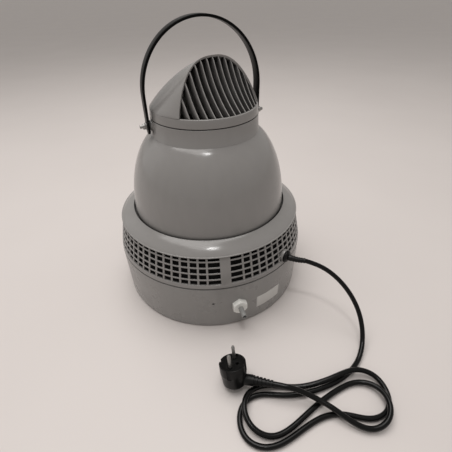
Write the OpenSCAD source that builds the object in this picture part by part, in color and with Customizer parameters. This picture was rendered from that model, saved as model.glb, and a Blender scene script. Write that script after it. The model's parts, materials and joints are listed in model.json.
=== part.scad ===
/* [Tank] */
// Outer diameter of the tank at the table
tank_d = 320; // [270:5:400]
// Height of the tank
tank_h = 86; // [70:1:110]
// Wall thickness of the tank
tank_wall = 3; // [2:0.5:4]
// Thickness of the tank floor
tank_floor = 4; // [3:0.5:6]
// How much the tank widens towards its top edge, on the radius
tank_flare = 1.3; // [0:0.1:3]

/* [Air intake ring] */
// Height of the slotted ring
ring_h = 52.2; // [51:0.2:70]
// How much the ring narrows towards its top, on the radius
ring_taper = 10.8; // [4:0.1:14]
// Wall thickness of the ring
ring_wall = 3; // [2.5:0.5:4]
// Height of the groove between tank and ring
seam_h = 2; // [1:0.5:3]
// Plain band under the lowest row of slots
ring_band_h = 7; // [6:0.5:12]
// Height of one slot
slot_h = 7.4; // [4:0.1:8]
// Vertical distance from one row of slots to the next
row_pitch = 9.9; // [9:0.1:11]
// Width of the upright between two slots
rib_w = 3.2; // [2:0.1:5]
// Thickness of the hoops between the rows of slots
hoop_t = 1.5; // [1.2:0.1:2.5]
// Width of each plain panel
panel_w = 15.6; // [10:0.2:24]

/* [Collar] */
// Width of the sloping collar, from its lip to its inner edge
collar_w = 23.1; // [18:0.1:28]
// Height of the collar
collar_h = 15.6; // [12:0.2:20]
// Wall thickness of the collar
collar_wall = 2.6; // [2:0.2:4]
// Width of the open groove between collar and dome
crevice_w = 2.9; // [2.5:0.1:8]

/* [Dome] */
// Height of the straight side of the dome
dome_side_h = 7.3; // [6:0.1:40]
// Height of the rounded shoulder of the dome
shoulder_h = 124; // [90:1:130]
// Outer radius of the neck where it meets the shoulder
neck_r = 81.8; // [76:0.2:92]
// Height of the neck
neck_h = 24.4; // [22:0.2:40]
// Wall thickness of dome and neck
dome_wall = 2.6; // [2:0.2:4]

/* [Outlet cap] */
// Height of the cap's round skirt
skirt_h = 12.2; // [9:0.1:20]
// Height of the hood above the skirt
hood_h = 66.4; // [50:0.2:85]
// Wall thickness of the hood
hood_wall = 3; // [2:0.2:4]
// Number of upright louvres
louvre_count = 13; // [7:2:17]
// Thickness of one louvre
louvre_t = 1.3; // [1:0.1:2.5]
// Depth of one louvre
louvre_depth = 16; // [8:1:24]
// Gap between neck and cap
cap_gap = 1.2; // [1:0.1:3]

/* [Handle] */
// Height of the carrying strap's bow above its pivots
handle_rise = 132.3; // [125:0.5:170]
// Width of the strap
strap_w = 16; // [10:1:24]
// Thickness of the strap
strap_t = 3.6; // [2.4:0.2:5]
// Radius of the strap's pivot studs
stud_r = 2.5; // [2:0.1:4]

/* [Motor and rotor] */
// Outer radius of the motor housing
motor_r = 38; // [34:1:46]
// Height of the motor housing
motor_h = 68; // [60:1:90]
// Radius of the rotor shaft
shaft_r = 4; // [3:0.5:6]
// Radius of the fan
fan_r = 76; // [60:1:90]
// Radius of the atomising disc
disc_r = 70; // [50:1:76]
// Outer radius of the suction cone at its top
cone_top_r = 34; // [24:1:44]

/* [Water inlet] */
// Radius of the supply pipe stub
pipe_r = 4; // [3:0.5:6]
// Width across the flats of the inlet nut
nut_flats = 22; // [17:1:27]
// Length of the float arm
float_arm_l = 44; // [36:1:56]

/* [Mains lead] */
// Outer diameter of the mains lead
cord_d = 7.2; // [6:0.1:9]
// Outer radius of the cable gland
gland_r = 10; // [8:0.5:13]

/* [Hidden] */
$fn = 96;

// Small fits
fit = 0.2;
running = 0.05;
open_gap = 0.4;
past = 1;

// Azimuths, counted from +X towards +Y; the front of the object looks along -Y
panel_az = 280;
inlet_az = 286.8;
plate_az = 306.8;
overflow_az = 272.4;
gland_az = 320;
outlet_az = 305;
handle_az = 22.7;

// Tank
tank_r = tank_d / 2;
tank_top_r = tank_r + tank_flare;
base_chamfer = 3;
ledge_w = 6;
ledge_z = tank_h - 10;
inlet_z = 46;
pad_r = 13;
pad_out = tank_wall_r(inlet_z) + 0.5;
pad_in = tank_wall_r(inlet_z) - tank_wall - 1;
inlet_body_r = 6;
inlet_flange_r = 11.5;
inlet_flange_t = 3;
seal_t = 1.5;
nut_h = 8;
nut_chamfer = 1.4;
pipe_wall = 1.2;
pipe_root_l = 6;
pipe_root_r = pipe_r - 0.4;
pipe_free_l = 18;
water_way_r = 2.5;
overflow_z = 54.8;
overflow_r = 2;

// Intake ring
ring_z = tank_h + seam_h;
ring_top = ring_z + ring_h;
flange_t = 0.8;
spigot_t = 3;
ring_spigot_r = tank_top_r - tank_wall - open_gap;
slot_step = 5;
rib_inset = 0.5;
steps_per_panel = 18;
panel_steps = 4;
panels = 4;
first_slot_z = ring_z + ring_band_h;
filter_z = ring_z + 3;
rows = floor((ring_top - flange_t - first_slot_z - 1) / row_pitch) + 1;
lug_w = 14;
bracket_r = ring_wall_r(ring_top) - ring_wall - 6;
lug_in = bracket_r - 9;
lug_screw_r = bracket_r - 4.5;
gland_z = ring_z + 12;
gland_pad = ring_wall_r(gland_z - gland_r);

// Collar
collar_overhang = 1.8;
collar_r = ring_wall_r(ring_top) + collar_overhang;
collar_in_r = collar_r - collar_w;
collar_z = ring_top;
collar_power = 1.67;
lip_h = 1.8;
lip_w = 2;
collar_top = collar_z + collar_h;

// Bracket
bracket_t = 3.5;
bracket_z = ring_top;
bracket_top = bracket_z + bracket_t;
hub_plate_r = motor_r + 6;
arm_az = gland_az + 45;
arm_w = 16;
arm_count = 4;
screw_r = 2;
head_r = 3.6;
head_h = 2.4;

// Dome
dome_r = collar_in_r - crevice_w;
dome_z = bracket_top;
side_z = dome_z + dome_side_h;
core_r = 60;
shoulder_cos = (neck_r - core_r) / (dome_r - core_r);
shoulder_b = shoulder_h / sqrt(1 - shoulder_cos * shoulder_cos);
neck_z = side_z + shoulder_h;
neck_top = neck_z + neck_h;
neck_draft = 0.9;
neck_bore_r = neck_r - neck_draft - dome_wall;
dome_foot_w = 10;
foot_t = 3;

// Cap swivel
cap_z = neck_top + cap_gap;
cap_r = neck_r - neck_draft;
rim_r = cap_r - 1.3;
rim_z = cap_z + skirt_h;
spigot_r = neck_bore_r - 1.3;
spigot_h = 12;
spigot_wall = 2.4;
retainer_lip_z = neck_top - 6;
retainer_lip_w = 0.9;
retainer_h = 1.6;

// Hood: its front is an arch in a plane that leans back
corner_angle = 56;
arch_half_w = rim_r * sin(corner_angle);
arch_foot = rim_r * cos(corner_angle);
arch_lean = 0.245;
arch_power = 2.6;
arch_round = 0.833;
hood_bulge = 7;
hood_cols = 40;
hood_rows = 12;
louvre_arc_r = 135;
louvre_pitch = 2 * arch_half_w / (louvre_count + 1.1);
louvre_foot = 2.5;
louvre_bite = 0.6;
louvre_edge_in = 0.8;

// Handle
pivot_z = neck_z + 16.5;
boss_r = 7.5;
boss_face = neck_r + 1.6;
spacer_t = 1.2;
strap_in = boss_face + spacer_t + fit;
strap_out = strap_in + strap_t;
strap_leg_h = 39;
strap_tail = 4;
washer_t = 1.2;
stud_nut_h = 4;
stud_end = 9.7;

// Motor
motor_z = bracket_top;
motor_floor = 5;
motor_wall = 2.5;
bearing_r = 11;
bearing_h = 7;
core_z = motor_z + 18;
core_h = 32;
core_in_r = 19;
winding_h = 7;
cap_t = 4;
air_gap = 0.6;
shaft_top = motor_z + motor_h - 2;

// Rotor below the bracket
fan_z = bracket_z - 26;
fan_h = 18;
fan_hub_r = 15;
blade_count = 7;
blade_t = 2;
blade_pitch = 28;
disc_z = ring_z + 11;
disc_lip_h = 7;
disc_t = 2.4;
cone_foot_z = 11;
cone_foot_r = 11;
cone_wall = 2;
shaft_foot = disc_z - 16;

// Splash deck and comb
deck_flange_t = 2;
deck_t = 2;
deck_in_r = disc_r + 6;
deck_flat_w = 14;
deck_z = ring_z + 2.5;
comb_r = disc_r + 12;
comb_t = 4;
comb_base_h = 3;
tooth_h = 17;
tooth_count = 48;

// Float valve, in a frame whose x axis points outwards at the inlet
float_pivot_r = pad_in - 26;
float_pivot_z = inlet_z - 9.5;
plunger_r = 3.5;
plunger_l = 7;
plunger_at = pad_in - 25;
guide_r = pad_in - 22;
guide_l = 12;
tongue_gap = 0.6;
tongue_h = 10;
tongue_t = 2;
float_droop = 12;
float_r = 16;
float_h = 18;
float_pin_r = 1.5;

cord_r = cord_d / 2;
cord_start_r = 161;
cord_shift = (gland_pad - cord_start_r) * [cos(gland_az), sin(gland_az), 0];

// Plug, in a frame whose z axis runs along its contact pins
plug_face = cord_shift + [33.4, -248.2, 38.6];
plug_tilt = [-16.7, -11.1, -15.6];
plug_face_r = 18.5;
plug_h = 36.5;
plug_pin_r = 2.4;
plug_pin_l = 19;
plug_pin_gap = 19;
relief_l = 30;
relief_r = 7.5;
relief_z = -26;
relief_droop = 3;
relief_root = [plug_face_r + 7, 0, relief_z];
relief_way = [cos(relief_droop), 0, -sin(relief_droop)];

// Mains lead: it drops from the boot to the surface, and is laid in a loose coil up to the plug.
// The points are in millimetres for a gland 100 mm up and a lead 7.2 mm thick.
cord_drop = [
    [152, -117, 101], [176, -124, 96], [197, -135, 85], [215, -149, 69], [228, -165, 50],
    [234, -180, 32], [234, -196, 17]
];
cord_lay = [
    [229, -212, 8], [219, -229, 4], [203, -245, 4], [183, -258, 4], [158, -268, 4],
    [130, -276, 4], [100, -278, 4], [72, -273, 4], [47, -282, 4], [38, -307, 4], [47, -332, 4],
    [72, -341, 4], [97, -333, 4], [121, -318, 4], [146, -305, 4], [169, -301, 4], [190, -306, 4],
    [211, -311, 4], [235, -302, 4], [244, -278, 4], [235, -253, 8], [210, -245, 12], [188, -252, 13],
    [165, -261, 12], [141, -266, 8], [119, -267, 4], [99, -264, 4], [79, -262, 5], [54, -272, 11],
    [44, -296, 15], [54, -320, 9], [79, -330, 4], [103, -320, 4], [127, -302, 4], [151, -285, 4],
    [178, -270, 4], [204, -259, 4], [229, -266, 8], [238, -291, 15], [229, -316, 11], [204, -325, 5],
    [181, -315, 9], [162, -300, 14], [143, -288, 15], [123, -280, 21]
];
cord_rings = 80;
cord_sides = 10;
cord_route = concat(
    [for (p = cord_drop) [p[0] + cord_shift[0], p[1] + cord_shift[1], p[2] * gland_z / 100]],
    [for (p = cord_lay) [p[0] + cord_shift[0], p[1] + cord_shift[1], p[2] * cord_d / 7.2]],
    [plug_point(relief_root + (relief_l + 16) * relief_way), plug_point(relief_root + relief_l * relief_way)]
);
boot_start_r = gland_pad + 6;
boot_route = [
    [boot_start_r * cos(gland_az), boot_start_r * sin(gland_az), gland_z],
    cord_shift + [140, -113.5, gland_z],
    cord_route[0]
];
boot_root_r = cord_r + 1.4;
boot_tip_r = cord_r + 0.5;

function tank_wall_r(z) = tank_r + tank_flare * z / tank_h;
function ring_wall_r(z) = tank_top_r - ring_taper * (z - ring_z) / ring_h;
function turned(p, a) =
    let (
        y = p[1] * cos(a[0]) - p[2] * sin(a[0]),
        z = p[1] * sin(a[0]) + p[2] * cos(a[0]),
        x = p[0] * cos(a[1]) + z * sin(a[1])
    )
    [x * cos(a[2]) - y * sin(a[2]), x * sin(a[2]) + y * cos(a[2]), z * cos(a[1]) - p[0] * sin(a[1])];
function plug_point(p) = plug_face + turned(p, plug_tilt);
function unit(v) = v / norm(v);
function blend(a, b, t) = a * (1 - t) + b * t;
function spline_point(a, b, c, d, t) =
    let (t2 = t * t, t3 = t2 * t)
    (a * pow(1 - t, 3) + b * (3 * t3 - 6 * t2 + 4) + c * (3 * t2 + 3 * t + 1 - 3 * t3) + d * t3) / 6;
function route_at(p, x) =
    let (
        last = len(p) - 1,
        i = min(floor(x), last - 1),
        before = i > 0 ? p[i - 1] : 2 * p[0] - p[1],
        after = i < last - 1 ? p[i + 2] : 2 * p[last] - p[last - 1]
    )
    spline_point(before, p[i], p[i + 1], after, x - i);
function smooth_route(p, n) = [for (i = [0:n - 1]) route_at(p, i * (len(p) - 1) / (n - 1))];
function heading(p, i) = unit(p[min(i + 1, len(p) - 1)] - p[max(i - 1, 0)]);
function ring_of(c, t, up, r, n) =
    let (side = unit(cross(up, t)), lift = cross(t, side))
    [for (k = [0:n - 1]) c + r * (cos(k * 360 / n) * side + sin(k * 360 / n) * lift)];

// Places children at an azimuth, with x pointing outwards
module at_azimuth(a, r = 0, z = 0) {
    rotate([0, 0, a])
        translate([r, 0, z])
            children();
}

// Places children at an azimuth, with their z axis pointing outwards
module outwards(a, r, z) {
    at_azimuth(a, r, z)
        rotate([0, 90, 0])
            children();
}

module around(count, first = 0) {
    for (i = [0:count - 1])
        rotate([0, 0, first + i * 360 / count])
            children();
}

module tube(h, r_out, r_in) {
    difference() {
        cylinder(h = h, r = r_out);
        translate([0, 0, -past])
            cylinder(h = h + 2 * past, r = r_in);
    }
}

// A round tube swept along points, with a radius at each end
module swept(p, r0, r1, n, up = [0, 0, 1]) {
    m = len(p);
    rings = [for (i = [0:m - 1]) ring_of(p[i], heading(p, i), up, blend(r0, r1, i / (m - 1)), n)];
    pts = [for (ring = rings) for (q = ring) q];
    sides = [for (i = [0:m - 2]) for (k = [0:n - 1])
        [i * n + k, i * n + (k + 1) % n, (i + 1) * n + (k + 1) % n, (i + 1) * n + k]];
    caps = [[for (k = [0:n - 1]) n - 1 - k], [for (k = [0:n - 1]) (m - 1) * n + k]];
    polyhedron(points = pts, faces = concat(sides, caps), convexity = 10);
}

// ---------- Tank and water inlet ----------

module tank_profile() {
    polygon([
        [0, 0], [tank_r - base_chamfer, 0], [tank_wall_r(base_chamfer), base_chamfer],
        [tank_top_r, tank_h], [tank_top_r - tank_wall, tank_h], [tank_top_r - tank_wall, ledge_z],
        [tank_top_r - tank_wall - ledge_w, ledge_z], [tank_wall_r(ledge_z) - tank_wall, ledge_z - ledge_w],
        [tank_wall_r(0) - tank_wall, tank_floor + 3], [tank_r - tank_wall - 3, tank_floor], [0, tank_floor]
    ]);
}

module tank() {
    color("#8f8f8c")
        difference() {
            union() {
                rotate_extrude()
                    tank_profile();
                outwards(inlet_az, pad_in, inlet_z)
                    cylinder(h = pad_out - pad_in, r = pad_r);
            }
            outwards(inlet_az, pad_in - past, inlet_z)
                cylinder(h = pad_out - pad_in + 2 * past, r = inlet_body_r + fit);
            outwards(overflow_az, tank_r - 2 * tank_wall, overflow_z)
                cylinder(h = 4 * tank_wall, r = overflow_r);
        }
}

module inlet_fitting() {
    color("#e4e4e0")
        difference() {
            union() {
                outwards(inlet_az, pad_in - seal_t - inlet_flange_t, inlet_z)
                    cylinder(h = inlet_flange_t, r = inlet_flange_r);
                outwards(inlet_az, guide_r, inlet_z)
                    cylinder(h = pad_out + nut_h - guide_r, r = inlet_body_r);
                for (side = [-1, 1])
                    at_azimuth(inlet_az, float_pivot_r - 4, float_pivot_z - 4)
                        translate([0, side * 4.4 - 1.2, 0])
                            cube([12, 2.4, inlet_z - float_pivot_z + 4]);
            }
            outwards(inlet_az, plunger_at - past, inlet_z)
                cylinder(h = guide_r + guide_l - plunger_at + past, r = plunger_r + running);
            outwards(inlet_az, guide_r, inlet_z)
                cylinder(h = 2 * pad_r + guide_l, r = water_way_r);
            outwards(inlet_az, pad_out + nut_h - pipe_root_l, inlet_z)
                cylinder(h = pipe_root_l + past, r = pipe_root_r);
            at_azimuth(inlet_az, float_pivot_r, float_pivot_z)
                rotate([90, 0, 0])
                    cylinder(h = 20, r = float_pin_r, center = true);
        }
}

module inlet_seal() {
    color("#2a2a2a")
        outwards(inlet_az, pad_in - seal_t, inlet_z)
            tube(seal_t, inlet_flange_r - 1, inlet_body_r);
}

module inlet_nut() {
    color("#ecece8")
        outwards(inlet_az, pad_out, inlet_z)
            difference() {
                intersection() {
                    cylinder(h = nut_h, r = nut_flats / sqrt(3), $fn = 6);
                    union() {
                        cylinder(h = nut_h - nut_chamfer, r = nut_flats / sqrt(3) + past);
                        translate([0, 0, nut_h - nut_chamfer])
                            cylinder(h = nut_chamfer, r1 = nut_flats / sqrt(3), r2 = nut_flats / 2);
                    }
                }
                translate([0, 0, -past])
                    cylinder(h = nut_h + 2 * past, r = inlet_body_r);
            }
}

module inlet_pipe() {
    color("#a9a9a6")
        outwards(inlet_az, pad_out + nut_h - pipe_root_l, inlet_z)
            difference() {
                union() {
                    cylinder(h = pipe_root_l + 1, r = pipe_root_r);
                    translate([0, 0, pipe_root_l])
                        cylinder(h = pipe_free_l, r = pipe_r);
                }
                translate([0, 0, -past])
                    cylinder(h = pipe_root_l + pipe_free_l + 2 * past, r = pipe_r - pipe_wall);
            }
}

module rating_plate() {
    plate_w = 48;
    plate_h = 24;
    sweep = plate_w / tank_r * 180 / PI;
    z0 = 23.5;
    color("#d9d9d4")
        rotate([0, 0, plate_az - sweep / 2])
            rotate_extrude(angle = sweep)
                polygon([
                    [tank_wall_r(z0), z0], [tank_wall_r(z0) + 0.4, z0],
                    [tank_wall_r(z0 + plate_h) + 0.4, z0 + plate_h], [tank_wall_r(z0 + plate_h), z0 + plate_h]
                ]);
}

module float_pin() {
    color("#b8b8b8")
        at_azimuth(inlet_az, float_pivot_r, float_pivot_z)
            rotate([90, 0, 0])
                cylinder(h = 12, r = float_pin_r, center = true);
}

module float_frame() {
    at_azimuth(inlet_az, float_pivot_r, float_pivot_z)
        rotate([0, -float_droop, 0])
            children();
}

module float_arm() {
    color("#d8d8d0")
        difference() {
            union() {
                float_frame() {
                    rotate([90, 0, 0])
                        cylinder(h = 5.6, r = 3.4, center = true);
                    translate([-float_arm_l, -2.2, -1.6])
                        cube([float_arm_l, 4.4, 3.2]);
                    translate([-float_arm_l, 0, -1.6])
                        cylinder(h = 3.2, r = 5);
                }
                at_azimuth(inlet_az, plunger_at - tongue_gap - tongue_t, float_pivot_z + 2)
                    translate([0, -2, 0])
                        cube([tongue_t, 4, tongue_h - 2]);
            }
            at_azimuth(inlet_az, float_pivot_r, float_pivot_z)
                rotate([90, 0, 0])
                    cylinder(h = 20, r = float_pin_r + running, center = true);
        }
}

module float_bulb() {
    color("#c8c8c4")
        float_frame()
            translate([-float_arm_l, 0, -1.6 - float_h])
                rotate_extrude()
                    polygon([
                        [0, 0], [float_r - 4, 0], [float_r, 4], [float_r, float_h - 3],
                        [float_r - 3, float_h], [0, float_h]
                    ]);
}

module valve_plunger() {
    color("#c9a24a")
        outwards(inlet_az, plunger_at, inlet_z)
            cylinder(h = plunger_l, r = plunger_r);
}

// ---------- Splash deck and comb ----------

module splash_deck() {
    flange_r = tank_top_r - tank_wall - open_gap;
    flat_r = deck_in_r + deck_flat_w;
    flange_in = tank_top_r - tank_wall - ledge_w;
    color("#7c7c7a")
        rotate_extrude()
            polygon([
                [deck_in_r, deck_z], [flat_r, deck_z], [flange_in, ledge_z], [flange_r, ledge_z],
                [flange_r, ledge_z + deck_flange_t], [flange_in + 1, ledge_z + deck_flange_t],
                [flat_r, deck_z + deck_t], [deck_in_r, deck_z + deck_t]
            ]);
}

module comb_ring() {
    z0 = deck_z + deck_t;
    color("#858583")
        union() {
            translate([0, 0, z0])
                tube(comb_base_h, comb_r + 3, comb_r - comb_t);
            around(tooth_count)
                translate([comb_r - comb_t + 0.5, -1.4, z0 + comb_base_h - 1])
                    cube([comb_t - 1, 2.8, tooth_h + 1]);
        }
}

// ---------- Intake ring, filter and collar ----------

module hoop(z0, z1) {
    rotate_extrude()
        polygon([
            [ring_wall_r(z0) - hoop_t, z0], [ring_wall_r(z0), z0],
            [ring_wall_r(z1), z1], [ring_wall_r(z1) - hoop_t, z1]
        ]);
}

module ring_upright(width, inset = 0) {
    z0 = first_slot_z - 2;
    z1 = ring_top - flange_t / 2;
    rotate([90, 0, 0])
        linear_extrude(height = width, center = true)
            polygon([
                [ring_wall_r(z0) - ring_wall, z0], [ring_wall_r(z0) - inset, z0],
                [ring_wall_r(z1) - inset, z1], [ring_wall_r(z1) - ring_wall, z1]
            ]);
}

module ring_uprights() {
    for (p = [0:panels - 1])
        rotate([0, 0, panel_az + p * 360 / panels]) {
            ring_upright(panel_w);
            for (i = [0:steps_per_panel - panel_steps])
                rotate([0, 0, slot_step * (panel_steps / 2 + i)])
                    ring_upright(rib_w, rib_inset);
        }
}

module ring_lug() {
    difference() {
        translate([lug_in, -lug_w / 2, ring_top - 9])
            cube([ring_wall_r(ring_top) - ring_wall / 2 - lug_in, lug_w, 9]);
        translate([lug_screw_r, 0, 0])
            cylinder(h = 2 * ring_top, r = screw_r);
    }
}

module intake_ring() {
    top_r = ring_wall_r(ring_top);
    color("#8f8f8c")
        difference() {
            union() {
                rotate_extrude()
                    polygon([
                        [ring_spigot_r - spigot_t, ledge_z + deck_flange_t],
                        [ring_spigot_r, ledge_z + deck_flange_t], [ring_spigot_r, ring_z],
                        [tank_top_r, ring_z], [ring_wall_r(first_slot_z), first_slot_z],
                        [ring_wall_r(first_slot_z) - ring_wall, first_slot_z],
                        [ring_wall_r(filter_z) - ring_wall, filter_z],
                        [ring_spigot_r - spigot_t, filter_z]
                    ]);
                for (k = [0:rows - 2])
                    hoop(first_slot_z + k * row_pitch + slot_h, first_slot_z + (k + 1) * row_pitch);
                translate([0, 0, ring_top - flange_t])
                    tube(flange_t, top_r - 0.4, bracket_r + 3);
                ring_uprights();
                around(panels, panel_az)
                    ring_lug();
                outwards(gland_az, gland_pad - 8, gland_z)
                    cylinder(h = 8, r = gland_r + 0.6);
            }
            outwards(gland_az, gland_pad - 12, gland_z)
                cylinder(h = 20, r = 6);
        }
}

module air_filter() {
    foam_t = 7;
    z0 = filter_z;
    z1 = ring_top - 10;
    gap = ring_wall + 0.6;
    color("#1d1d1d")
        difference() {
            rotate_extrude()
                polygon([
                    [ring_wall_r(z0) - gap - foam_t, z0], [ring_wall_r(z0) - gap, z0],
                    [ring_wall_r(z1) - gap, z1], [ring_wall_r(z1) - gap - foam_t, z1]
                ]);
            at_azimuth(gland_az, ring_wall_r(gland_z) - 25, z0 - past)
                translate([0, -14, 0])
                    cube([40, 28, gland_z - z0 + 16]);
        }
}

function collar_curve(w, h, n) =
    [for (i = [0:n]) let (a = i * 90 / n) [w * pow(cos(a), collar_power), h * pow(sin(a), collar_power)]];

module collar() {
    z0 = collar_z + lip_h;
    crest_w = collar_w - lip_w;
    outer = [for (q = collar_curve(crest_w, collar_h - lip_h, 14)) [collar_in_r + q[0], z0 + q[1]]];
    inner = [for (q = collar_curve(crest_w - 2 * collar_wall, collar_h - lip_h - collar_wall, 14))
        [collar_in_r + collar_wall + q[0], z0 + q[1]]];
    inner_back = [for (i = [len(inner) - 1:-1:0]) inner[i]];
    foot_z = bracket_top + fit;
    color("#979793")
        rotate_extrude()
            polygon(concat(
                [
                    [collar_r - lip_w - collar_wall, collar_z], [collar_r - 0.7, collar_z],
                    [collar_r, collar_z + 0.7], [collar_r, z0 - 0.5], [collar_r - 0.5, z0]
                ],
                outer,
                [[collar_in_r, foot_z], [collar_in_r + collar_wall, foot_z]],
                inner_back
            ));
}

// ---------- Bracket and dome ----------

module motor_bracket() {
    color("#6f6f6d")
        difference() {
            union() {
                translate([0, 0, bracket_z])
                    tube(bracket_t, bracket_r, dome_r - dome_foot_w - 6);
                translate([0, 0, bracket_z])
                    cylinder(h = bracket_t, r = hub_plate_r);
                around(arm_count, arm_az)
                    translate([hub_plate_r - 4, -arm_w / 2, bracket_z])
                        cube([dome_r - dome_foot_w - hub_plate_r + 2, arm_w, bracket_t]);
                around(arm_count, arm_az)
                    translate([hub_plate_r - 4, -2, bracket_z - 4])
                        cube([dome_r - dome_foot_w - hub_plate_r, 4, 5]);
            }
            translate([0, 0, bracket_z - past])
                cylinder(h = bracket_t + 2 * past, r = bearing_r - 2);
            around(panels, panel_az)
                translate([lug_screw_r, 0, bracket_z - past])
                    cylinder(h = bracket_t + 2 * past, r = screw_r);
            around(4, panel_az + 45)
                translate([dome_r - dome_foot_w + 3, 0, bracket_z - past])
                    cylinder(h = bracket_t + 2 * past, r = screw_r);
            around(3, panel_az)
                translate([motor_r - 8, 0, bracket_z - past])
                    cylinder(h = bracket_t + 2 * past, r = screw_r);
        }
}

module pan_screw(shank) {
    union() {
        difference() {
            cylinder(h = head_h, r1 = head_r, r2 = head_r - 0.8);
            translate([-0.5, -head_r, head_h - 0.9])
                cube([1, 2 * head_r, 2]);
            translate([-head_r, -0.5, head_h - 0.9])
                cube([2 * head_r, 1, 2]);
        }
        translate([0, 0, -shank])
            cylinder(h = shank + 0.5, r = screw_r);
    }
}

module bracket_screws() {
    color("#c9c9c9")
        around(panels, panel_az)
            translate([lug_screw_r, 0, bracket_top])
                pan_screw(10);
}

function dome_r_at(z, inset) =
    z <= side_z ? dome_r - inset :
    core_r + (dome_r - core_r - inset) * sqrt(max(0, 1 - pow((z - side_z) / (shoulder_b - inset), 2)));

module dome() {
    steps = 22;
    outer = [for (i = [0:steps]) let (z = side_z + shoulder_h * sin(90 * i / steps)) [dome_r_at(z, 0), z]];
    inner_top = shoulder_h - dome_wall * 0.8;
    inner = [for (i = [steps:-1:0]) let (z = side_z + inner_top * sin(90 * i / steps))
        [min(dome_r_at(z, dome_wall), dome_r - dome_wall), z]];
    foot_in = dome_r - dome_foot_w;
    color("#8b8b88")
        difference() {
            union() {
                rotate_extrude()
                    polygon(concat(
                        [[foot_in, dome_z], [dome_r, dome_z]],
                        outer,
                        [
                            [neck_r, neck_z], [cap_r, neck_top - 0.6], [cap_r - 0.6, neck_top],
                            [neck_bore_r, neck_top], [neck_bore_r, retainer_lip_z + 2],
                            [neck_bore_r - retainer_lip_w, retainer_lip_z + 2],
                            [neck_bore_r - retainer_lip_w, retainer_lip_z],
                            [neck_bore_r, retainer_lip_z], [neck_bore_r, neck_z]
                        ],
                        inner,
                        [[dome_r - dome_wall, dome_z + foot_t], [foot_in, dome_z + foot_t]]
                    ));
                for (a = [0, 180])
                    outwards(handle_az + a, neck_r - 2, pivot_z)
                        cylinder(h = boss_face - neck_r + 2, r = boss_r);
            }
            for (a = [0, 180])
                outwards(handle_az + a, neck_r - 3, pivot_z)
                    cylinder(h = 20, r = stud_r);
            around(4, panel_az + 45)
                translate([foot_in + 3, 0, dome_z - past])
                    cylinder(h = 3, r = screw_r - 0.4);
        }
}

module dome_screws() {
    color("#c9c9c9")
        around(4, panel_az + 45)
            translate([dome_r - dome_foot_w + 3, 0, bracket_z])
                mirror([0, 0, 1])
                    union() {
                        pan_screw(bracket_t - 0.1);
                        translate([0, 0, -bracket_t - 1.8])
                            cylinder(h = 4, r = screw_r - 0.4);
                    }
}

// ---------- Motor ----------

module motor_can() {
    color("#5c5c5a")
        difference() {
            translate([0, 0, motor_z])
                cylinder(h = motor_h, r = motor_r);
            translate([0, 0, motor_z + motor_floor])
                cylinder(h = motor_h, r = motor_r - motor_wall);
            translate([0, 0, motor_z - past])
                cylinder(h = motor_floor + 2 * past, r = shaft_r + 3);
            translate([0, 0, motor_z + 1.5])
                cylinder(h = motor_floor, r = bearing_r);
            around(3, panel_az)
                translate([motor_r - 8, 0, motor_z - past])
                    cylinder(h = motor_floor - 0.5 + past, r = screw_r);
            outwards(gland_az, motor_r - 6, motor_z + 12)
                cylinder(h = 12, r = 5.5);
        }
}

module motor_cap() {
    z0 = motor_z + motor_h;
    color("#4e4e4c")
        difference() {
            union() {
                rotate_extrude()
                    polygon([
                        [0, z0], [motor_r + 2, z0], [motor_r + 2, z0 + 3], [motor_r - 4, z0 + 9],
                        [18, z0 + 13], [0, z0 + 14]
                    ]);
                translate([0, 0, z0 - 3])
                    tube(4, motor_r - motor_wall - fit, motor_r - motor_wall - 3);
                translate([0, 0, z0 - bearing_h])
                    tube(bearing_h + 1, bearing_r + 3, bearing_r);
            }
            translate([0, 0, z0 - past])
                cylinder(h = 1.5 + past, r = shaft_r + 3);
        }
}

module motor_screws() {
    color("#c9c9c9")
        around(3, panel_az)
            translate([motor_r - 8, 0, bracket_z])
                mirror([0, 0, 1])
                    pan_screw(bracket_t + motor_floor - 0.8);
}

module stator_core() {
    core_out = motor_r - motor_wall;
    color("#77736c")
        translate([0, 0, core_z])
            difference() {
                tube(core_h, core_out, core_in_r);
                around(12)
                    translate([core_in_r - past, -1.2, -past])
                        cube([2.5, 2.4, core_h + 2 * past]);
            }
}

module stator_windings() {
    color("#a8632f")
        for (z = [core_z - winding_h, core_z + core_h])
            translate([0, 0, z])
                tube(winding_h, motor_r - motor_wall - 2.5, core_in_r + 2.5);
}

module bearing() {
    tube(bearing_h, bearing_r, shaft_r + running);
}

module bearing_lower() {
    color("#b5b5b5")
        translate([0, 0, motor_z + 1.5])
            bearing();
}

module bearing_upper() {
    color("#b5b5b5")
        translate([0, 0, motor_z + motor_h - bearing_h])
            bearing();
}

module shaft_seal() {
    color("#202020")
        translate([0, 0, bracket_z])
            tube(bracket_t, bearing_r - 2, shaft_r + 0.08);
}

module motor_lead() {
    lead_r = 2.6;
    rise_r = dome_r - dome_foot_w - 16;
    low = bracket_z - 5;
    top = motor_z + 12;
    start_r = gland_pad - 11;
    p = [
        [start_r, 0, gland_z], [start_r - 5, 0, gland_z], [start_r - 11, 0, gland_z + 3],
        [start_r - 15, 0, gland_z + 10], [start_r - 17, 0, gland_z + 18], [start_r - 20, 0, low - 6],
        [start_r - 25, 0, low - 1], [start_r - 32, 0, low], [rise_r + 10, 0, low], [rise_r + 3, 0, low + 2],
        [rise_r - 2, 0, low + 7], [rise_r - 8, 0, low + 12], [rise_r - 18, 0, top - 2],
        [motor_r + 28, 0, top], [motor_r + 10, 0, top], [motor_r - 5, 0, top]
    ];
    color("#141414")
        rotate([0, 0, gland_az])
            swept(p, lead_r, lead_r, 10, [0, 1, 0]);
}

module lead_grommet() {
    color("#181818")
        outwards(gland_az, motor_r - 4, motor_z + 12)
            tube(6, 5.5, 2.6);
}

// ---------- Rotor ----------

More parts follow.
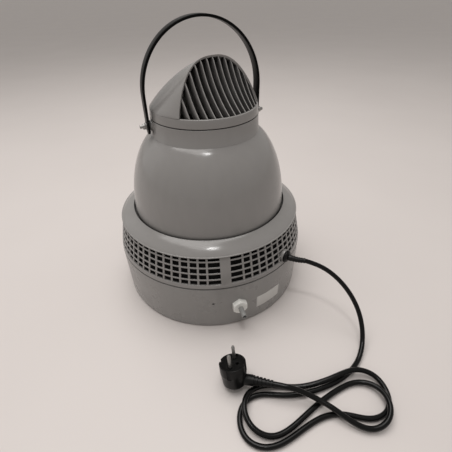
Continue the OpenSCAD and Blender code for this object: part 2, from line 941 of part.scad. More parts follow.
module shaft() {
    color("#c4c4c4")
        translate([0, 0, shaft_foot])
            cylinder(h = shaft_top - shaft_foot, r = shaft_r);
}

module rotor_core() {
    color("#6a6864")
        translate([0, 0, core_z])
            tube(core_h, core_in_r - air_gap, shaft_r);
}

module fan() {
    color("#4a4a4a")
        difference() {
            union() {
                translate([0, 0, fan_z])
                    cylinder(h = fan_h, r = fan_hub_r);
                around(blade_count)
                    translate([fan_hub_r - 3, 0, fan_z + fan_h / 2])
                        rotate([blade_pitch, 0, 0])
                            intersection() {
                                translate([0, -15, -blade_t / 2])
                                    cube([fan_r - fan_hub_r + 3, 30, blade_t]);
                                translate([fan_r / 2 - 8, 0, -blade_t])
                                    cylinder(h = 2 * blade_t, r = fan_r / 2 + 1);
                            }
            }
            translate([0, 0, fan_z - past])
                cylinder(h = fan_h + 2 * past, r = shaft_r);
        }
}

module atomiser_disc() {
    hub_top = fan_z - disc_z;
    color("#3f3f3f")
        translate([0, 0, disc_z])
            rotate_extrude()
                polygon([
                    [shaft_r, -6], [10, -6], [10, 0], [disc_r, 0], [disc_r, disc_lip_h],
                    [disc_r - 2, disc_lip_h], [disc_r - 3, disc_t], [12, disc_t],
                    [11, hub_top], [shaft_r, hub_top]
                ]);
}

module suction_cone() {
    color("#4a4a4a")
        difference() {
            rotate_extrude()
                polygon([
                    [cone_foot_r - cone_wall, cone_foot_z], [cone_foot_r, cone_foot_z],
                    [cone_top_r, disc_z - 4], [cone_top_r + 6, disc_z - 2], [cone_top_r + 6, disc_z],
                    [cone_top_r - cone_wall, disc_z], [cone_top_r - cone_wall, disc_z - 5]
                ]);
            around(3)
                translate([0, 0, cone_foot_z - past])
                    translate([cone_foot_r - 4, -1.5, 0])
                        cube([8, 3, 6]);
        }
}

module disc_nut() {
    color("#c0a050")
        translate([0, 0, disc_z - 12])
            difference() {
                cylinder(h = 6, r = 7.5, $fn = 6);
                translate([0, 0, -past])
                    cylinder(h = 8, r = shaft_r);
            }
}

// ---------- Outlet cap ----------

module outlet_base() {
    groove_z = retainer_lip_z - 0.3 - retainer_h;
    color("#8d8d8a")
        rotate_extrude()
            polygon([
                [spigot_r - spigot_wall, cap_z - spigot_h], [spigot_r, cap_z - spigot_h], [spigot_r, groove_z],
                [spigot_r - 1, groove_z], [spigot_r - 1, groove_z + retainer_h],
                [spigot_r, groove_z + retainer_h], [spigot_r, cap_z], [cap_r - 0.6, cap_z],
                [cap_r, cap_z + 0.6], [rim_r, rim_z], [rim_r - hood_wall, rim_z],
                [rim_r - hood_wall, cap_z + 2.4], [spigot_r - spigot_wall, cap_z + 2.4]
            ]);
}

module swivel_ring() {
    groove_z = retainer_lip_z - 0.3 - retainer_h;
    color("#303030")
        difference() {
            translate([0, 0, groove_z])
                tube(retainer_h, neck_bore_r - 0.35, spigot_r - 1);
            at_azimuth(outlet_az + 180, spigot_r - 4, groove_z - past)
                translate([0, -3, 0])
                    cube([8, 6, retainer_h + 2 * past]);
        }
}

function arch_z(s) = hood_h * pow(max(0, 1 - pow(abs(s) / arch_half_w, arch_power)), arch_round);
function arch_point(u) =
    let (s = arch_half_w * sin(90 * u), z = arch_z(s))
    [arch_foot - arch_lean * z, s, z];
function rim_point(u) =
    let (a = 180 - (180 - corner_angle) * u)
    [rim_r * cos(a), rim_r * sin(a), 0];
function hood_point(u, v) =
    let (
        a = arch_point(u),
        b = rim_point(u),
        middle = (a + b) / 2,
        swell = hood_bulge * norm(b - a) / (rim_r + hood_h / 1.4)
    )
    blend(a, b, v) + unit(middle) * swell * 4 * v * (1 - v);
function inwards(p, d) = p * (1 - d / norm(p));

module hood_skin(from, to) {
    n = hood_cols + 1;
    m = hood_rows + 1;
    u = [for (i = [0:hood_cols]) 0.97 * (2 * i / hood_cols - 1)];
    surface = [for (j = [0:hood_rows]) for (i = [0:hood_cols]) hood_point(u[i], j / hood_rows)];
    outer = [for (p = surface) inwards(p, from)];
    inner = [for (p = surface) inwards(p, to)];
    k = n * m;
    skin = [for (j = [0:hood_rows - 1]) for (i = [0:hood_cols - 1])
        [j * n + i, j * n + i + 1, (j + 1) * n + i + 1, (j + 1) * n + i]];
    back = [for (f = skin) [k + f[3], k + f[2], k + f[1], k + f[0]]];
    front_edge = [for (i = [0:hood_cols - 1]) [i + 1, i, k + i, k + i + 1]];
    rim_edge = [for (i = [0:hood_cols - 1])
        let (a = hood_rows * n + i) [a, a + 1, k + a + 1, k + a]];
    end_a = [for (j = [0:hood_rows - 1]) let (a = j * n) [a, a + n, k + a + n, k + a]];
    end_b = [for (j = [0:hood_rows - 1]) let (a = j * n + hood_cols) [a + n, a, k + a, k + a + n]];
    polyhedron(
        points = concat(outer, inner),
        faces = concat(skin, back, front_edge, rim_edge, end_a, end_b),
        convexity = 6
    );
}

module outlet_frame() {
    translate([0, 0, rim_z])
        rotate([0, 0, outlet_az])
            children();
}

module outlet_hood() {
    color("#8d8d8a")
        outlet_frame()
            hood_skin(0, hood_wall);
}

function louvre_edge(s, n) =
    let (
        foot = [sqrt(pow(rim_r - louvre_edge_in, 2) - s * s), 0],
        z = arch_z(s),
        head = [arch_foot - arch_lean * z, z],
        chord = head - foot,
        inside = unit([-abs(chord[1]), chord[0]]),
        sag = pow(norm(chord), 2) / (8 * louvre_arc_r)
    )
    [for (i = [0:n]) let (t = i / n) blend(foot, head, t) + inside * sag * 4 * t * (1 - t)];

module louvre(s) {
    front = louvre_edge(s, 16);
    back = [for (i = [len(front) - 1:-1:0]) front[i] - [louvre_depth, 0]];
    foot = front[0];
    translate([0, s, 0])
        rotate([90, 0, 0])
            linear_extrude(height = louvre_t, center = true)
                polygon(concat(
                    [[foot[0] - louvre_depth, -louvre_foot], [foot[0] - 0.4, -louvre_foot]],
                    front,
                    back
                ));
}

module outlet_louvres() {
    last = (louvre_count - 1) / 2;
    color("#7a7a77")
        outlet_frame()
            intersection() {
                union() {
                    for (i = [-last:last])
                        louvre(i * louvre_pitch);
                }
                union() {
                    hull() {
                        hood_skin(hood_wall - louvre_bite, hood_wall + past);
                        cylinder(h = 0.1, r = rim_r - louvre_edge_in);
                    }
                    translate([0, 0, -louvre_foot])
                        cylinder(h = louvre_foot + 0.2, r = rim_r - hood_wall);
                }
            }
}

// ---------- Handle ----------

function bow(r, h, n) = [for (i = [0:n]) let (a = i * 180 / n) [r * cos(a), strap_leg_h + h * sin(a)]];

module strap_end(side) {
    translate([side * (strap_in + strap_t / 2), 0, 0])
        rotate([0, 90, 0])
            union() {
                translate([strap_tail, 0, 0])
                    cylinder(h = strap_t, r = strap_w / 2, center = true);
                translate([0, 0, 0])
                    cube([2 * strap_tail, strap_w, strap_t], center = true);
            }
}

module handle_strap() {
    bow_h = handle_rise - strap_leg_h;
    outer = bow(strap_out, bow_h, 40);
    inner = bow(strap_in, bow_h - strap_t, 40);
    inner_back = [for (i = [len(inner) - 1:-1:0]) inner[i]];
    color("#161616")
        translate([0, 0, pivot_z])
            rotate([0, 0, handle_az])
                difference() {
                    union() {
                        rotate([90, 0, 0])
                            linear_extrude(height = strap_w, center = true)
                                polygon(concat(
                                    [[strap_out, 0]], outer, [[-strap_out, 0], [-strap_in, 0]],
                                    inner_back, [[strap_in, 0]]
                                ));
                        strap_end(1);
                        strap_end(-1);
                    }
                    rotate([0, 90, 0])
                        cylinder(h = 3 * strap_out, r = stud_r + running, center = true);
                }
}

module at_studs(r) {
    for (a = [0, 180])
        outwards(handle_az + a, r, pivot_z)
            children();
}

module handle_studs() {
    color("#9a9a98")
        at_studs(neck_r - 3)
            cylinder(h = strap_out + stud_end - neck_r + 3, r = stud_r);
}

module handle_spacers() {
    color("#8a8a88")
        at_studs(boss_face)
            tube(spacer_t, 6, stud_r);
}

module handle_washers() {
    color("#a8a8a6")
        at_studs(strap_out + fit)
            tube(washer_t, 5.5, stud_r);
}

module handle_nuts() {
    color("#a0a09e")
        at_studs(strap_out + fit + washer_t)
            difference() {
                cylinder(h = stud_nut_h, r = 4.6, $fn = 6);
                translate([0, 0, -past])
                    cylinder(h = stud_nut_h + 2 * past, r = stud_r);
            }
}

// ---------- Mains lead ----------

module cable_gland() {
    color("#141414")
        outwards(gland_az, gland_pad - 12, gland_z)
            difference() {
                union() {
                    cylinder(h = 12.5, r = 6);
                    translate([0, 0, 12])
                        rotate_extrude()
                            polygon([
                                [0, 0], [gland_r, 0], [gland_r, 3], [gland_r - 2, 5],
                                [boot_root_r, 6], [0, 6]
                            ]);
                }
                translate([0, 0, -past])
                    cylinder(h = 11, r = 3);
            }
}

module gland_locknut() {
    color("#1a1a1a")
        outwards(gland_az, gland_pad - 12, gland_z)
            difference() {
                cylinder(h = 4, r = 10, $fn = 6);
                translate([0, 0, -past])
                    cylinder(h = 6, r = 6);
            }
}

module cord_boot() {
    color("#121212")
        swept(smooth_route(boot_route, 7), boot_root_r, boot_tip_r, 16);
}

module mains_cord() {
    color("#101010")
        swept(smooth_route(cord_route, cord_rings), cord_r, cord_r, cord_sides);
}

module plug_frame() {
    translate(plug_face)
        rotate(plug_tilt)
            children();
}

module plug_body() {
    color("#121212")
        plug_frame()
            difference() {
                union() {
                    rotate_extrude()
                        polygon([
                            [0, -plug_h], [plug_face_r - 7, -plug_h], [plug_face_r - 2, -plug_h + 6],
                            [plug_face_r - 0.5, -16], [plug_face_r, -14], [plug_face_r, 0], [0, 0]
                        ]);
                    translate([0, 0, relief_z])
                        rotate([0, 90, 0])
                            cylinder(h = relief_root[0] + 1, r = relief_r);
                    translate(relief_root)
                        rotate([0, 90 + relief_droop, 0])
                            cylinder(h = relief_l, r1 = relief_r - 0.5, r2 = cord_r + 0.6);
                }
                for (side = [-1, 1])
                    translate([side * (plug_face_r + 1.2), 0, -12])
                        cylinder(h = 14, r = 3.6);
                for (side = [-1, 1])
                    translate([0, side * (plug_face_r - 1.2) - 2.6, -12])
                        cube([6, 5.2, 30], center = true);
                translate([7, 0, -10])
                    cylinder(h = 11, r = 2.5);
            }
}

module plug_pins() {
    color("#b9b9b4")
        plug_frame()
            for (side = [-1, 1])
                translate([0, side * plug_pin_gap / 2, 0])
                    union() {
                        cylinder(h = plug_pin_l - 2, r = plug_pin_r);
                        translate([0, 0, plug_pin_l - 2])
                            cylinder(h = 2, r1 = plug_pin_r, r2 = plug_pin_r - 1);
                    }
}

module plug_earth_clips() {
    color("#b08d4a")
        plug_frame()
            for (side = [-1, 1])
                translate([side * (plug_face_r - 2.8), 0, -8])
                    cube([0.8, 5, 12], center = true);
}

tank();
inlet_fitting();
inlet_seal();
inlet_nut();
inlet_pipe();
rating_plate();
float_pin();
float_arm();
float_bulb();
valve_plunger();
splash_deck();
comb_ring();
intake_ring();
air_filter();
collar();
motor_bracket();
bracket_screws();
dome();
dome_screws();
motor_can();
motor_cap();
motor_screws();
stator_core();
stator_windings();
bearing_lower();
bearing_upper();
shaft_seal();
motor_lead();
lead_grommet();
shaft();
rotor_core();
fan();
atomiser_disc();
suction_cone();
disc_nut();
outlet_base();
outlet_hood();
outlet_louvres();
swivel_ring();
handle_strap();
handle_studs();
handle_spacers();
handle_washers();
handle_nuts();
cable_gland();
gland_locknut();
cord_boot();
mains_cord();
plug_body();
plug_pins();
plug_earth_clips();
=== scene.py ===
"""Looks for a spinning-disc humidifier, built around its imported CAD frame. Sizes are in metres."""
import json
import math
import random

import bmesh
import bpy
from mathutils import Euler, Matrix, Vector

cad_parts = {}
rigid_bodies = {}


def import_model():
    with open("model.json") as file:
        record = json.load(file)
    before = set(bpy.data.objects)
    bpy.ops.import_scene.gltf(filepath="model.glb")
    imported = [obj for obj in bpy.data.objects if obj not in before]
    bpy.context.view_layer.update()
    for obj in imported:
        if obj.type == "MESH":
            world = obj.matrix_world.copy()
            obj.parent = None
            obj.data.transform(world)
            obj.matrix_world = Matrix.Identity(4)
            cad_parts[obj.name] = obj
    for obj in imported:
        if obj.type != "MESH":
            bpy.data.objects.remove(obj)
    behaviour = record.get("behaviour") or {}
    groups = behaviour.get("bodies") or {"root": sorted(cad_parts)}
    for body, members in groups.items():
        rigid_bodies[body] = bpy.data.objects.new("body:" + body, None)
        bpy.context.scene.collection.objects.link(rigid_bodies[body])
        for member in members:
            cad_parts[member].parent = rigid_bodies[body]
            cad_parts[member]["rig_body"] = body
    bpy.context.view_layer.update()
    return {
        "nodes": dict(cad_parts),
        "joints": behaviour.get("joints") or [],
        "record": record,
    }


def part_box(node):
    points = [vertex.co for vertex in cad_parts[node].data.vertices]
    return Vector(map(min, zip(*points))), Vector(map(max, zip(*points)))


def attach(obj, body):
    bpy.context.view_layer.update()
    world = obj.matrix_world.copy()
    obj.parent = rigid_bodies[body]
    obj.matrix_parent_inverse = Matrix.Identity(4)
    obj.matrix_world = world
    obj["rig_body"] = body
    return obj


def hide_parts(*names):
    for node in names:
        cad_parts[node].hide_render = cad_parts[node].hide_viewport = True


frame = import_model()
random.seed(7)
MM = 0.001

# ---------- Sizes, read from the CAD frame ----------

TANK_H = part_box("tank")[1].z
TANK_TOP_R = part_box("tank")[1].x
RING_Z = TANK_H + 2 * MM
RING_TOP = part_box("collar")[0].z
COLLAR_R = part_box("collar")[1].x
COLLAR_OVERHANG = 1.8 * MM
COLLAR_W = 23.1 * MM
RING_TOP_R = COLLAR_R - COLLAR_OVERHANG
RING_TAPER = TANK_TOP_R - RING_TOP_R
COLLAR_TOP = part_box("collar")[1].z
COLLAR_IN = COLLAR_R - COLLAR_W
DOME_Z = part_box("dome")[0].z
DOME_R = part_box("dome")[1].x
CAP_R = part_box("outlet_base")[1].x
RIM_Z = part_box("outlet_base")[1].z
HOOD_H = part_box("outlet_hood")[1].z - RIM_Z
RIM_R = CAP_R - 1.3 * MM
PIVOT = next(j for j in frame["joints"] if j["name"] == "handle_swing")
PIVOT_Z = PIVOT["pos_m"][2]
HANDLE_AZ = math.atan2(PIVOT["axis"][1], PIVOT["axis"][0])
PANEL_AZ = math.radians(280)
GLAND_AZ = math.radians(320)
OUTLET_AZ = math.radians(305)
CORD_D = 7.2 * MM
PANEL_W = 15.6 * MM
RIB_W = 3.2 * MM
RIB_INSET = 0.5 * MM
RIB_COUNT = 15
RIB_STEP = math.radians(5)
SHOULDER_H = 124 * MM
NECK_H = 24.4 * MM
CAP_SKIRT = 12.2 * MM
STRAP_T = 3.6 * MM
STRAP_W = 16 * MM

# ---------- Camera ----------

def add_camera():
    """A camera at the height, distance and tilt of a person who looks down at the object."""
    data = bpy.data.cameras.new("camera")
    data.lens = 25.956
    data.sensor_width = 36.0
    data.shift_x = -1.0 / 452
    data.clip_start = 0.01
    cam = bpy.data.objects.new("camera", data)
    bpy.context.scene.collection.objects.link(cam)
    cam.location = (0.0302, -0.4961, 0.4492)
    look = Matrix.Rotation(math.radians(90 - 36.176), 4, "X")
    cam.rotation_euler = (look @ Matrix.Rotation(math.radians(-1.252), 4, "Z")).to_euler()
    bpy.context.scene.camera = cam


add_camera()

# ---------- Materials ----------

def new_material(name):
    """A material with its node tree and shader, and the object coordinates of a new texture-coordinate node.
    """
    mat = bpy.data.materials.new(name)
    mat.use_nodes = True
    tree = mat.node_tree
    shader = next(n for n in tree.nodes if n.type == "BSDF_PRINCIPLED")
    coords = tree.nodes.new("ShaderNodeTexCoord")
    return mat, tree, shader, coords.outputs["Object"]


def noise(tree, coords, scale, detail=3.0, rough=0.55, stretch=None):
    """A noise texture's factor, at scale features a metre."""
    if stretch is not None:
        mapping = tree.nodes.new("ShaderNodeMapping")
        mapping.inputs["Scale"].default_value = stretch
        tree.links.new(coords, mapping.inputs["Vector"])
        coords = mapping.outputs["Vector"]
    node = tree.nodes.new("ShaderNodeTexNoise")
    node.inputs["Scale"].default_value = scale
    node.inputs["Detail"].default_value = detail
    node.inputs["Roughness"].default_value = rough
    tree.links.new(coords, node.inputs["Vector"])
    return node.outputs["Fac"]


def ramp(tree, factor, stops):
    """A colour ramp over a factor: stops are (position, colour)."""
    node = tree.nodes.new("ShaderNodeValToRGB")
    elements = node.color_ramp.elements
    while len(elements) < len(stops):
        elements.new(0.5)
    for element, (position, colour) in zip(elements, stops):
        element.position = position
        element.color = (*colour, 1.0)
    tree.links.new(factor, node.inputs["Fac"])
    return node.outputs["Color"]


def spread(tree, factor, low, high):
    """A factor mapped from 0.3..0.7, where noise mostly lies, to low..high."""
    node = tree.nodes.new("ShaderNodeMapRange")
    node.inputs["From Min"].default_value = 0.3
    node.inputs["From Max"].default_value = 0.7
    node.inputs["To Min"].default_value = low
    node.inputs["To Max"].default_value = high
    tree.links.new(factor, node.inputs["Value"])
    return node.outputs["Result"]


def mixed(tree, a, b, factor, blend="MIX"):
    """Two colours mixed; any of the three may be a socket or a value."""
    node = tree.nodes.new("ShaderNodeMix")
    node.data_type = "RGBA"
    node.blend_type = blend
    for socket, value in ((node.inputs[0], factor), (node.inputs[6], a), (node.inputs[7], b)):
        if isinstance(value, bpy.types.NodeSocket):
            tree.links.new(value, socket)
        elif isinstance(value, tuple):
            socket.default_value = (*value, 1.0)
        else:
            socket.default_value = value
    return node.outputs[2]


def bump(tree, shader, height, distance, strength=1.0):
    """Fine relief from a height factor."""
    node = tree.nodes.new("ShaderNodeBump")
    node.inputs["Distance"].default_value = distance
    node.inputs["Strength"].default_value = strength
    tree.links.new(height, node.inputs["Height"])
    tree.links.new(node.outputs["Normal"], shader.inputs["Normal"])


def shade(colour, k):
    return tuple(min(1.0, c * k) for c in colour)


def edge_mask(tree, radius):
    """Where an edge is rounded within radius, from 0 on a flat surface to 1 on the edge."""
    soft = tree.nodes.new("ShaderNodeBevel")
    soft.samples = 4
    soft.inputs["Radius"].default_value = radius
    sharp = tree.nodes.new("ShaderNodeNewGeometry")
    dot = tree.nodes.new("ShaderNodeVectorMath")
    dot.operation = "DOT_PRODUCT"
    tree.links.new(soft.outputs["Normal"], dot.inputs[0])
    tree.links.new(sharp.outputs["Normal"], dot.inputs[1])
    node = tree.nodes.new("ShaderNodeMapRange")
    node.inputs["From Min"].default_value = 0.99
    node.inputs["From Max"].default_value = 0.86
    tree.links.new(dot.outputs["Value"], node.inputs["Value"])
    return node.outputs["Result"]


def painted_hollow_shade(tree, base, reach, dark):
    """Painted shade: hollows within reach of other faces are darkened in the base colour."""
    hollow = tree.nodes.new("ShaderNodeAmbientOcclusion")
    hollow.samples = 6
    hollow.inputs["Distance"].default_value = reach
    open_air = ramp(tree, hollow.outputs["AO"], [(0.12, (dark, dark, dark)), (0.75, (1, 1, 1))])
    return mixed(tree, base, open_air, 1.0, "MULTIPLY")


def moulded(name, colour, rough=0.42, mottle=0.06, grain=900, depth=0.00004, edge_wear_and_highlight=0.25, specks=0.0,
            gleam=0.5, hollow_shade=None):
    """Moulded plastic: faint mottling, a fine grain, uneven gloss, lighter rubbed edges that on the louvres
    are also a painted highlight, and optional painted shade in hollows.
    """
    mat, tree, shader, coords = new_material(name)
    cloud = noise(tree, coords, 14, 4)
    flow = noise(tree, coords, 70, 3, stretch=(1, 1, 0.25))
    base = ramp(tree, cloud, [(0.3, shade(colour, 1 - mottle)), (0.7, shade(colour, 1 + mottle))])
    base = mixed(tree, base, ramp(tree, flow, [(0.35, shade(colour, 0.96)), (0.7, shade(colour, 1.04))]), 0.4)
    # Lighter edges: rubbed wear, and where it is set high, as on the louvres, a painted highlight.
    if edge_wear_and_highlight:
        rub_and_highlight = tree.nodes.new("ShaderNodeMath")
        rub_and_highlight.operation = "MULTIPLY"
        tree.links.new(edge_mask(tree, 0.0007), rub_and_highlight.inputs[0])
        tree.links.new(spread(tree, noise(tree, coords, 120, 3), 0.1 * edge_wear_and_highlight, edge_wear_and_highlight), rub_and_highlight.inputs[1])
        base = mixed(tree, base, shade(colour, 1.7), rub_and_highlight.outputs["Value"])
    if specks:
        dust = ramp(tree, noise(tree, coords, 420, 2, 0.7), [(0.68, (0, 0, 0)), (0.74, (1, 1, 1))])
        amount = tree.nodes.new("ShaderNodeMath")
        amount.operation = "MULTIPLY"
        amount.inputs[1].default_value = specks
        tree.links.new(dust, amount.inputs[0])
        base = mixed(tree, base, shade(colour, 1.6), amount.outputs["Value"])
    # Painted shade: the base colour darkens in hollows near other faces.
    if hollow_shade:
        base = painted_hollow_shade(tree, base, *hollow_shade)
    tree.links.new(base, shader.inputs["Base Color"])
    gloss = spread(tree, noise(tree, coords, 32, 4), rough - 0.06, rough + 0.07)
    tree.links.new(gloss, shader.inputs["Roughness"])
    bump(tree, shader, noise(tree, coords, grain, 4, 0.65), depth)
    shader.inputs["Specular IOR Level"].default_value = gleam
    return mat


def metal(name, colour, rough=0.3, brushed=(1, 1, 12), depth=0.00002):
    """Plated or machined metal with fine tool marks and slight tarnish."""
    mat, tree, shader, coords = new_material(name)
    marks = noise(tree, coords, 260, 4, 0.6, stretch=brushed)
    tarnish = noise(tree, coords, 55, 4)
    base = ramp(tree, tarnish, [(0.35, shade(colour, 0.82)), (0.65, shade(colour, 1.08))])
    tree.links.new(base, shader.inputs["Base Color"])
    tree.links.new(spread(tree, marks, rough - 0.08, rough + 0.12), shader.inputs["Roughness"])
    shader.inputs["Metallic"].default_value = 1.0
    bump(tree, shader, marks, depth)
    return mat


def foam(name, colour):
    """Open-cell foam: cells of about a millimetre, with painted shade in their hollows and lighter cell
    walls.
    """
    mat, tree, shader, coords = new_material(name)
    cells = tree.nodes.new("ShaderNodeTexVoronoi")
    cells.inputs["Scale"].default_value = 620
    tree.links.new(coords, cells.inputs["Vector"])
    base = ramp(tree, cells.outputs["Distance"], [(0.1, shade(colour, 0.3)), (0.6, shade(colour, 1.9))])
    tree.links.new(base, shader.inputs["Base Color"])
    shader.inputs["Roughness"].default_value = 0.95
    shader.inputs["Specular IOR Level"].default_value = 0.05
    bump(tree, shader, cells.outputs["Distance"], 0.0006)
    return mat


def wound(name, colour):
    """Enamelled wire wound side by side."""
    mat, tree, shader, coords = new_material(name)
    wires = tree.nodes.new("ShaderNodeTexWave")
    wires.inputs["Scale"].default_value = 420
    wires.inputs["Distortion"].default_value = 1.5
    tree.links.new(coords, wires.inputs["Vector"])
    base = ramp(tree, wires.outputs["Fac"], [(0.2, shade(colour, 0.5)), (0.8, shade(colour, 1.2))])
    tree.links.new(base, shader.inputs["Base Color"])
    shader.inputs["Roughness"].default_value = 0.35
    shader.inputs["Metallic"].default_value = 0.6
    bump(tree, shader, wires.outputs["Fac"], 0.0003)
    return mat


def laminated(name, colour):
    """A stack of thin steel sheets."""
    mat, tree, shader, coords = new_material(name)
    sheets = noise(tree, coords, 40, 2, stretch=(1, 1, 60))
    base = ramp(tree, sheets, [(0.3, shade(colour, 0.6)), (0.7, shade(colour, 1.15))])
    tree.links.new(base, shader.inputs["Base Color"])
    shader.inputs["Metallic"].default_value = 0.8
    shader.inputs["Roughness"].default_value = 0.5
    bump(tree, shader, sheets, 0.0002)
    return mat


GREY = (0.262, 0.254, 0.247)
MATERIALS = {
    # The grey plastic gets painted shade in its hollows.
    "grey_plastic": moulded(
        "grey_plastic", GREY, rough=0.17, mottle=0.03, depth=0.00002, hollow_shade=(0.012, 0.45)),
    "tank_plastic": moulded("tank_plastic", GREY, rough=0.30, mottle=0.05),
    # The louvres: a darker copy of the grey plastic, with painted highlight on their edges and painted shade
    # between them.
    "louvre_plastic": moulded("louvre_plastic", shade(GREY, 0.92), rough=0.36, edge_wear_and_highlight=0.6, hollow_shade=(0.024, 0.06)),
    "inner_plastic": moulded("inner_plastic", shade(GREY, 0.35), rough=0.55),
    "white_plastic": moulded("white_plastic", (0.80, 0.80, 0.77), rough=0.35, mottle=0.03, edge_wear_and_highlight=0.1),
    "float_plastic": moulded("float_plastic", (0.62, 0.62, 0.58), rough=0.45, mottle=0.05),
    "pipe_grey": moulded("pipe_grey", (0.24, 0.24, 0.235), rough=0.4),
    "plate_foil": moulded("plate_foil", (0.60, 0.59, 0.57), rough=0.45, mottle=0.04, grain=1800, specks=0.15),
    "rotor_plastic": moulded("rotor_plastic", (0.04, 0.04, 0.04), rough=0.45),
    "black_plastic": moulded("black_plastic", (0.004, 0.004, 0.004), rough=0.36, edge_wear_and_highlight=0.12, gleam=0.2),
    "strap_black": moulded(
        "strap_black", (0.003, 0.003, 0.003), rough=0.32, mottle=0.12, edge_wear_and_highlight=0.2, specks=0.02, gleam=0.07),
    "black_rubber": moulded(
        "black_rubber", (0.004, 0.004, 0.004), rough=0.34, grain=1400, edge_wear_and_highlight=0.12, specks=0.03, gleam=0.25),
    "black_cable": moulded(
        "black_cable", (0.002, 0.002, 0.002), rough=0.19, grain=700, edge_wear_and_highlight=0.0, specks=0.03, gleam=0.25),
    "seal_rubber": moulded("seal_rubber", (0.02, 0.02, 0.02), rough=0.7, edge_wear_and_highlight=0.0),
    "filter_foam": foam("filter_foam", (0.006, 0.006, 0.006)),
    "motor_metal": moulded("motor_metal", (0.03, 0.03, 0.031), rough=0.35, edge_wear_and_highlight=0.4),
    "core_steel": laminated("core_steel", (0.3, 0.29, 0.28)),
    "steel": metal("steel", (0.36, 0.355, 0.345), rough=0.4),
    "copper": wound("copper", (0.5, 0.22, 0.08)),
    "brass": metal("brass", (0.60, 0.44, 0.19), rough=0.3),
}

# ---------- Mesh tools ----------

def finish_mesh(name, mesh, slot, body, angle=38):
    """A mesh becomes a piece: smooth but for real edges, with its material, on its body."""
    bm = bmesh.new()
    bm.from_mesh(mesh)
    bmesh.ops.remove_doubles(bm, verts=bm.verts, dist=0.000002)
    bmesh.ops.recalc_face_normals(bm, faces=bm.faces)
    bm.to_mesh(mesh)
    bm.free()
    mesh.polygons.foreach_set("use_smooth", [True] * len(mesh.polygons))
    mesh.set_sharp_from_angle(angle=math.radians(angle))
    piece = bpy.data.objects.new(name, mesh)
    bpy.context.scene.collection.objects.link(piece)
    mesh.materials.clear()
    mesh.materials.append(MATERIALS[slot])
    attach(piece, body)
    return piece


def mesh_from(name, verts, faces):
    mesh = bpy.data.meshes.new(name)
    mesh.from_pydata([tuple(v) for v in verts], [], faces)
    return mesh


def modified(mesh, *modifiers):
    """The mesh with modifiers applied: each is (type, settings)."""
    holder = bpy.data.objects.new("holder", mesh)
    bpy.context.scene.collection.objects.link(holder)
    for kind, settings in modifiers:
        modifier = holder.modifiers.new(kind.lower(), kind)
        for key, value in settings.items():
            setattr(modifier, key, value)
    bpy.context.view_layer.update()
    result = bpy.data.meshes.new_from_object(holder.evaluated_get(bpy.context.evaluated_depsgraph_get()))
    bpy.data.objects.remove(holder)
    return result


def bevelled(mesh, width, segments=2, angle=30):
    return modified(mesh, ("BEVEL", {
        "width": width, "segments": segments, "limit_method": "ANGLE",
        "angle_limit": math.radians(angle), "use_clamp_overlap": True, "harden_normals": False,
    }))


def fillet(points, steps=5):
    """A closed outline with rounded corners: each point is (x, y, radius)."""
    out = []
    count = len(points)
    for i, (x, y, r) in enumerate(points):
        p = Vector((x, y))
        a = Vector(points[i - 1][:2]) - p
        b = Vector(points[(i + 1) % count][:2]) - p
        if r <= 0 or a.length == 0 or b.length == 0:
            out.append((x, y))
            continue
        half = a.angle(b) / 2
        reach = min(r / math.tan(half), 0.49 * min(a.length, b.length))
        r = reach * math.tan(half)
        start, end = p + a.normalized() * reach, p + b.normalized() * reach
        centre = p + (a.normalized() + b.normalized()).normalized() * (r / math.sin(half))
        u, v = start - centre, end - centre
        turn = u.angle_signed(v)
        for k in range(steps + 1):
            c, s = math.cos(-turn * k / steps), math.sin(-turn * k / steps)
            out.append((centre.x + u.x * c - u.y * s, centre.y + u.x * s + u.y * c))
    return out


def revolved(name, outline, segments=180):
    """A closed outline of (radius, height) turned once about the axis."""
    n = len(outline)
    verts = []
    for k in range(segments):
        c, s = math.cos(2 * math.pi * k / segments), math.sin(2 * math.pi * k / segments)
        verts += [(r * c, r * s, z) for r, z in outline]
    faces = []
    for k in range(segments):
        for i in range(n):
            j = (i + 1) % n
            a, b = k * n, (k + 1) % segments * n
            faces.append((a + i, b + i, b + j, a + j))
    return mesh_from(name, verts, faces)


def tube_mesh(name, points, radii, sides=16, up=Vector((0, 0, 1))):
    """A round tube along points, with a radius at each and closed ends."""
    verts, faces = [], []
    for i, p in enumerate(points):
        t = (points[min(i + 1, len(points) - 1)] - points[max(i - 1, 0)]).normalized()
        side = up.cross(t).normalized()
        lift = t.cross(side)
        for k in range(sides):
            a = 2 * math.pi * k / sides
            verts.append(p + radii[i] * (math.cos(a) * side + math.sin(a) * lift))
    for i in range(len(points) - 1):
        for k in range(sides):
            a, b = i * sides, (i + 1) * sides
            m = (k + 1) % sides
            faces.append((a + k, a + m, b + m, b + k))
    faces.append(tuple(range(sides))[::-1])
    faces.append(tuple((len(points) - 1) * sides + k for k in range(sides)))
    return mesh_from(name, verts, faces)


def joined(name, meshes):
    """Several meshes as one."""
    bm = bmesh.new()
    for mesh in meshes:
        bm.from_mesh(mesh)
    out = bpy.data.meshes.new(name)
    bm.to_mesh(out)
    bm.free()
    return out


def carved(mesh, cutter):
    """The mesh with the cutter's closed shapes taken out of it."""
    tool = bpy.data.objects.new("cutter", cutter)
    bpy.context.scene.collection.objects.link(tool)
    out = modified(mesh, (
        "BOOLEAN", {"operation": "DIFFERENCE", "object": tool, "solver": "EXACT", "use_self": True},
    ))
    bpy.data.objects.remove(tool)
    return out


def turned(mesh, azimuth, place=Vector((0, 0, 0))):
    """The mesh moved, then turned about the object's axis."""
    mesh.transform(Matrix.Rotation(azimuth, 4, "Z") @ Matrix.Translation(place))
    return mesh


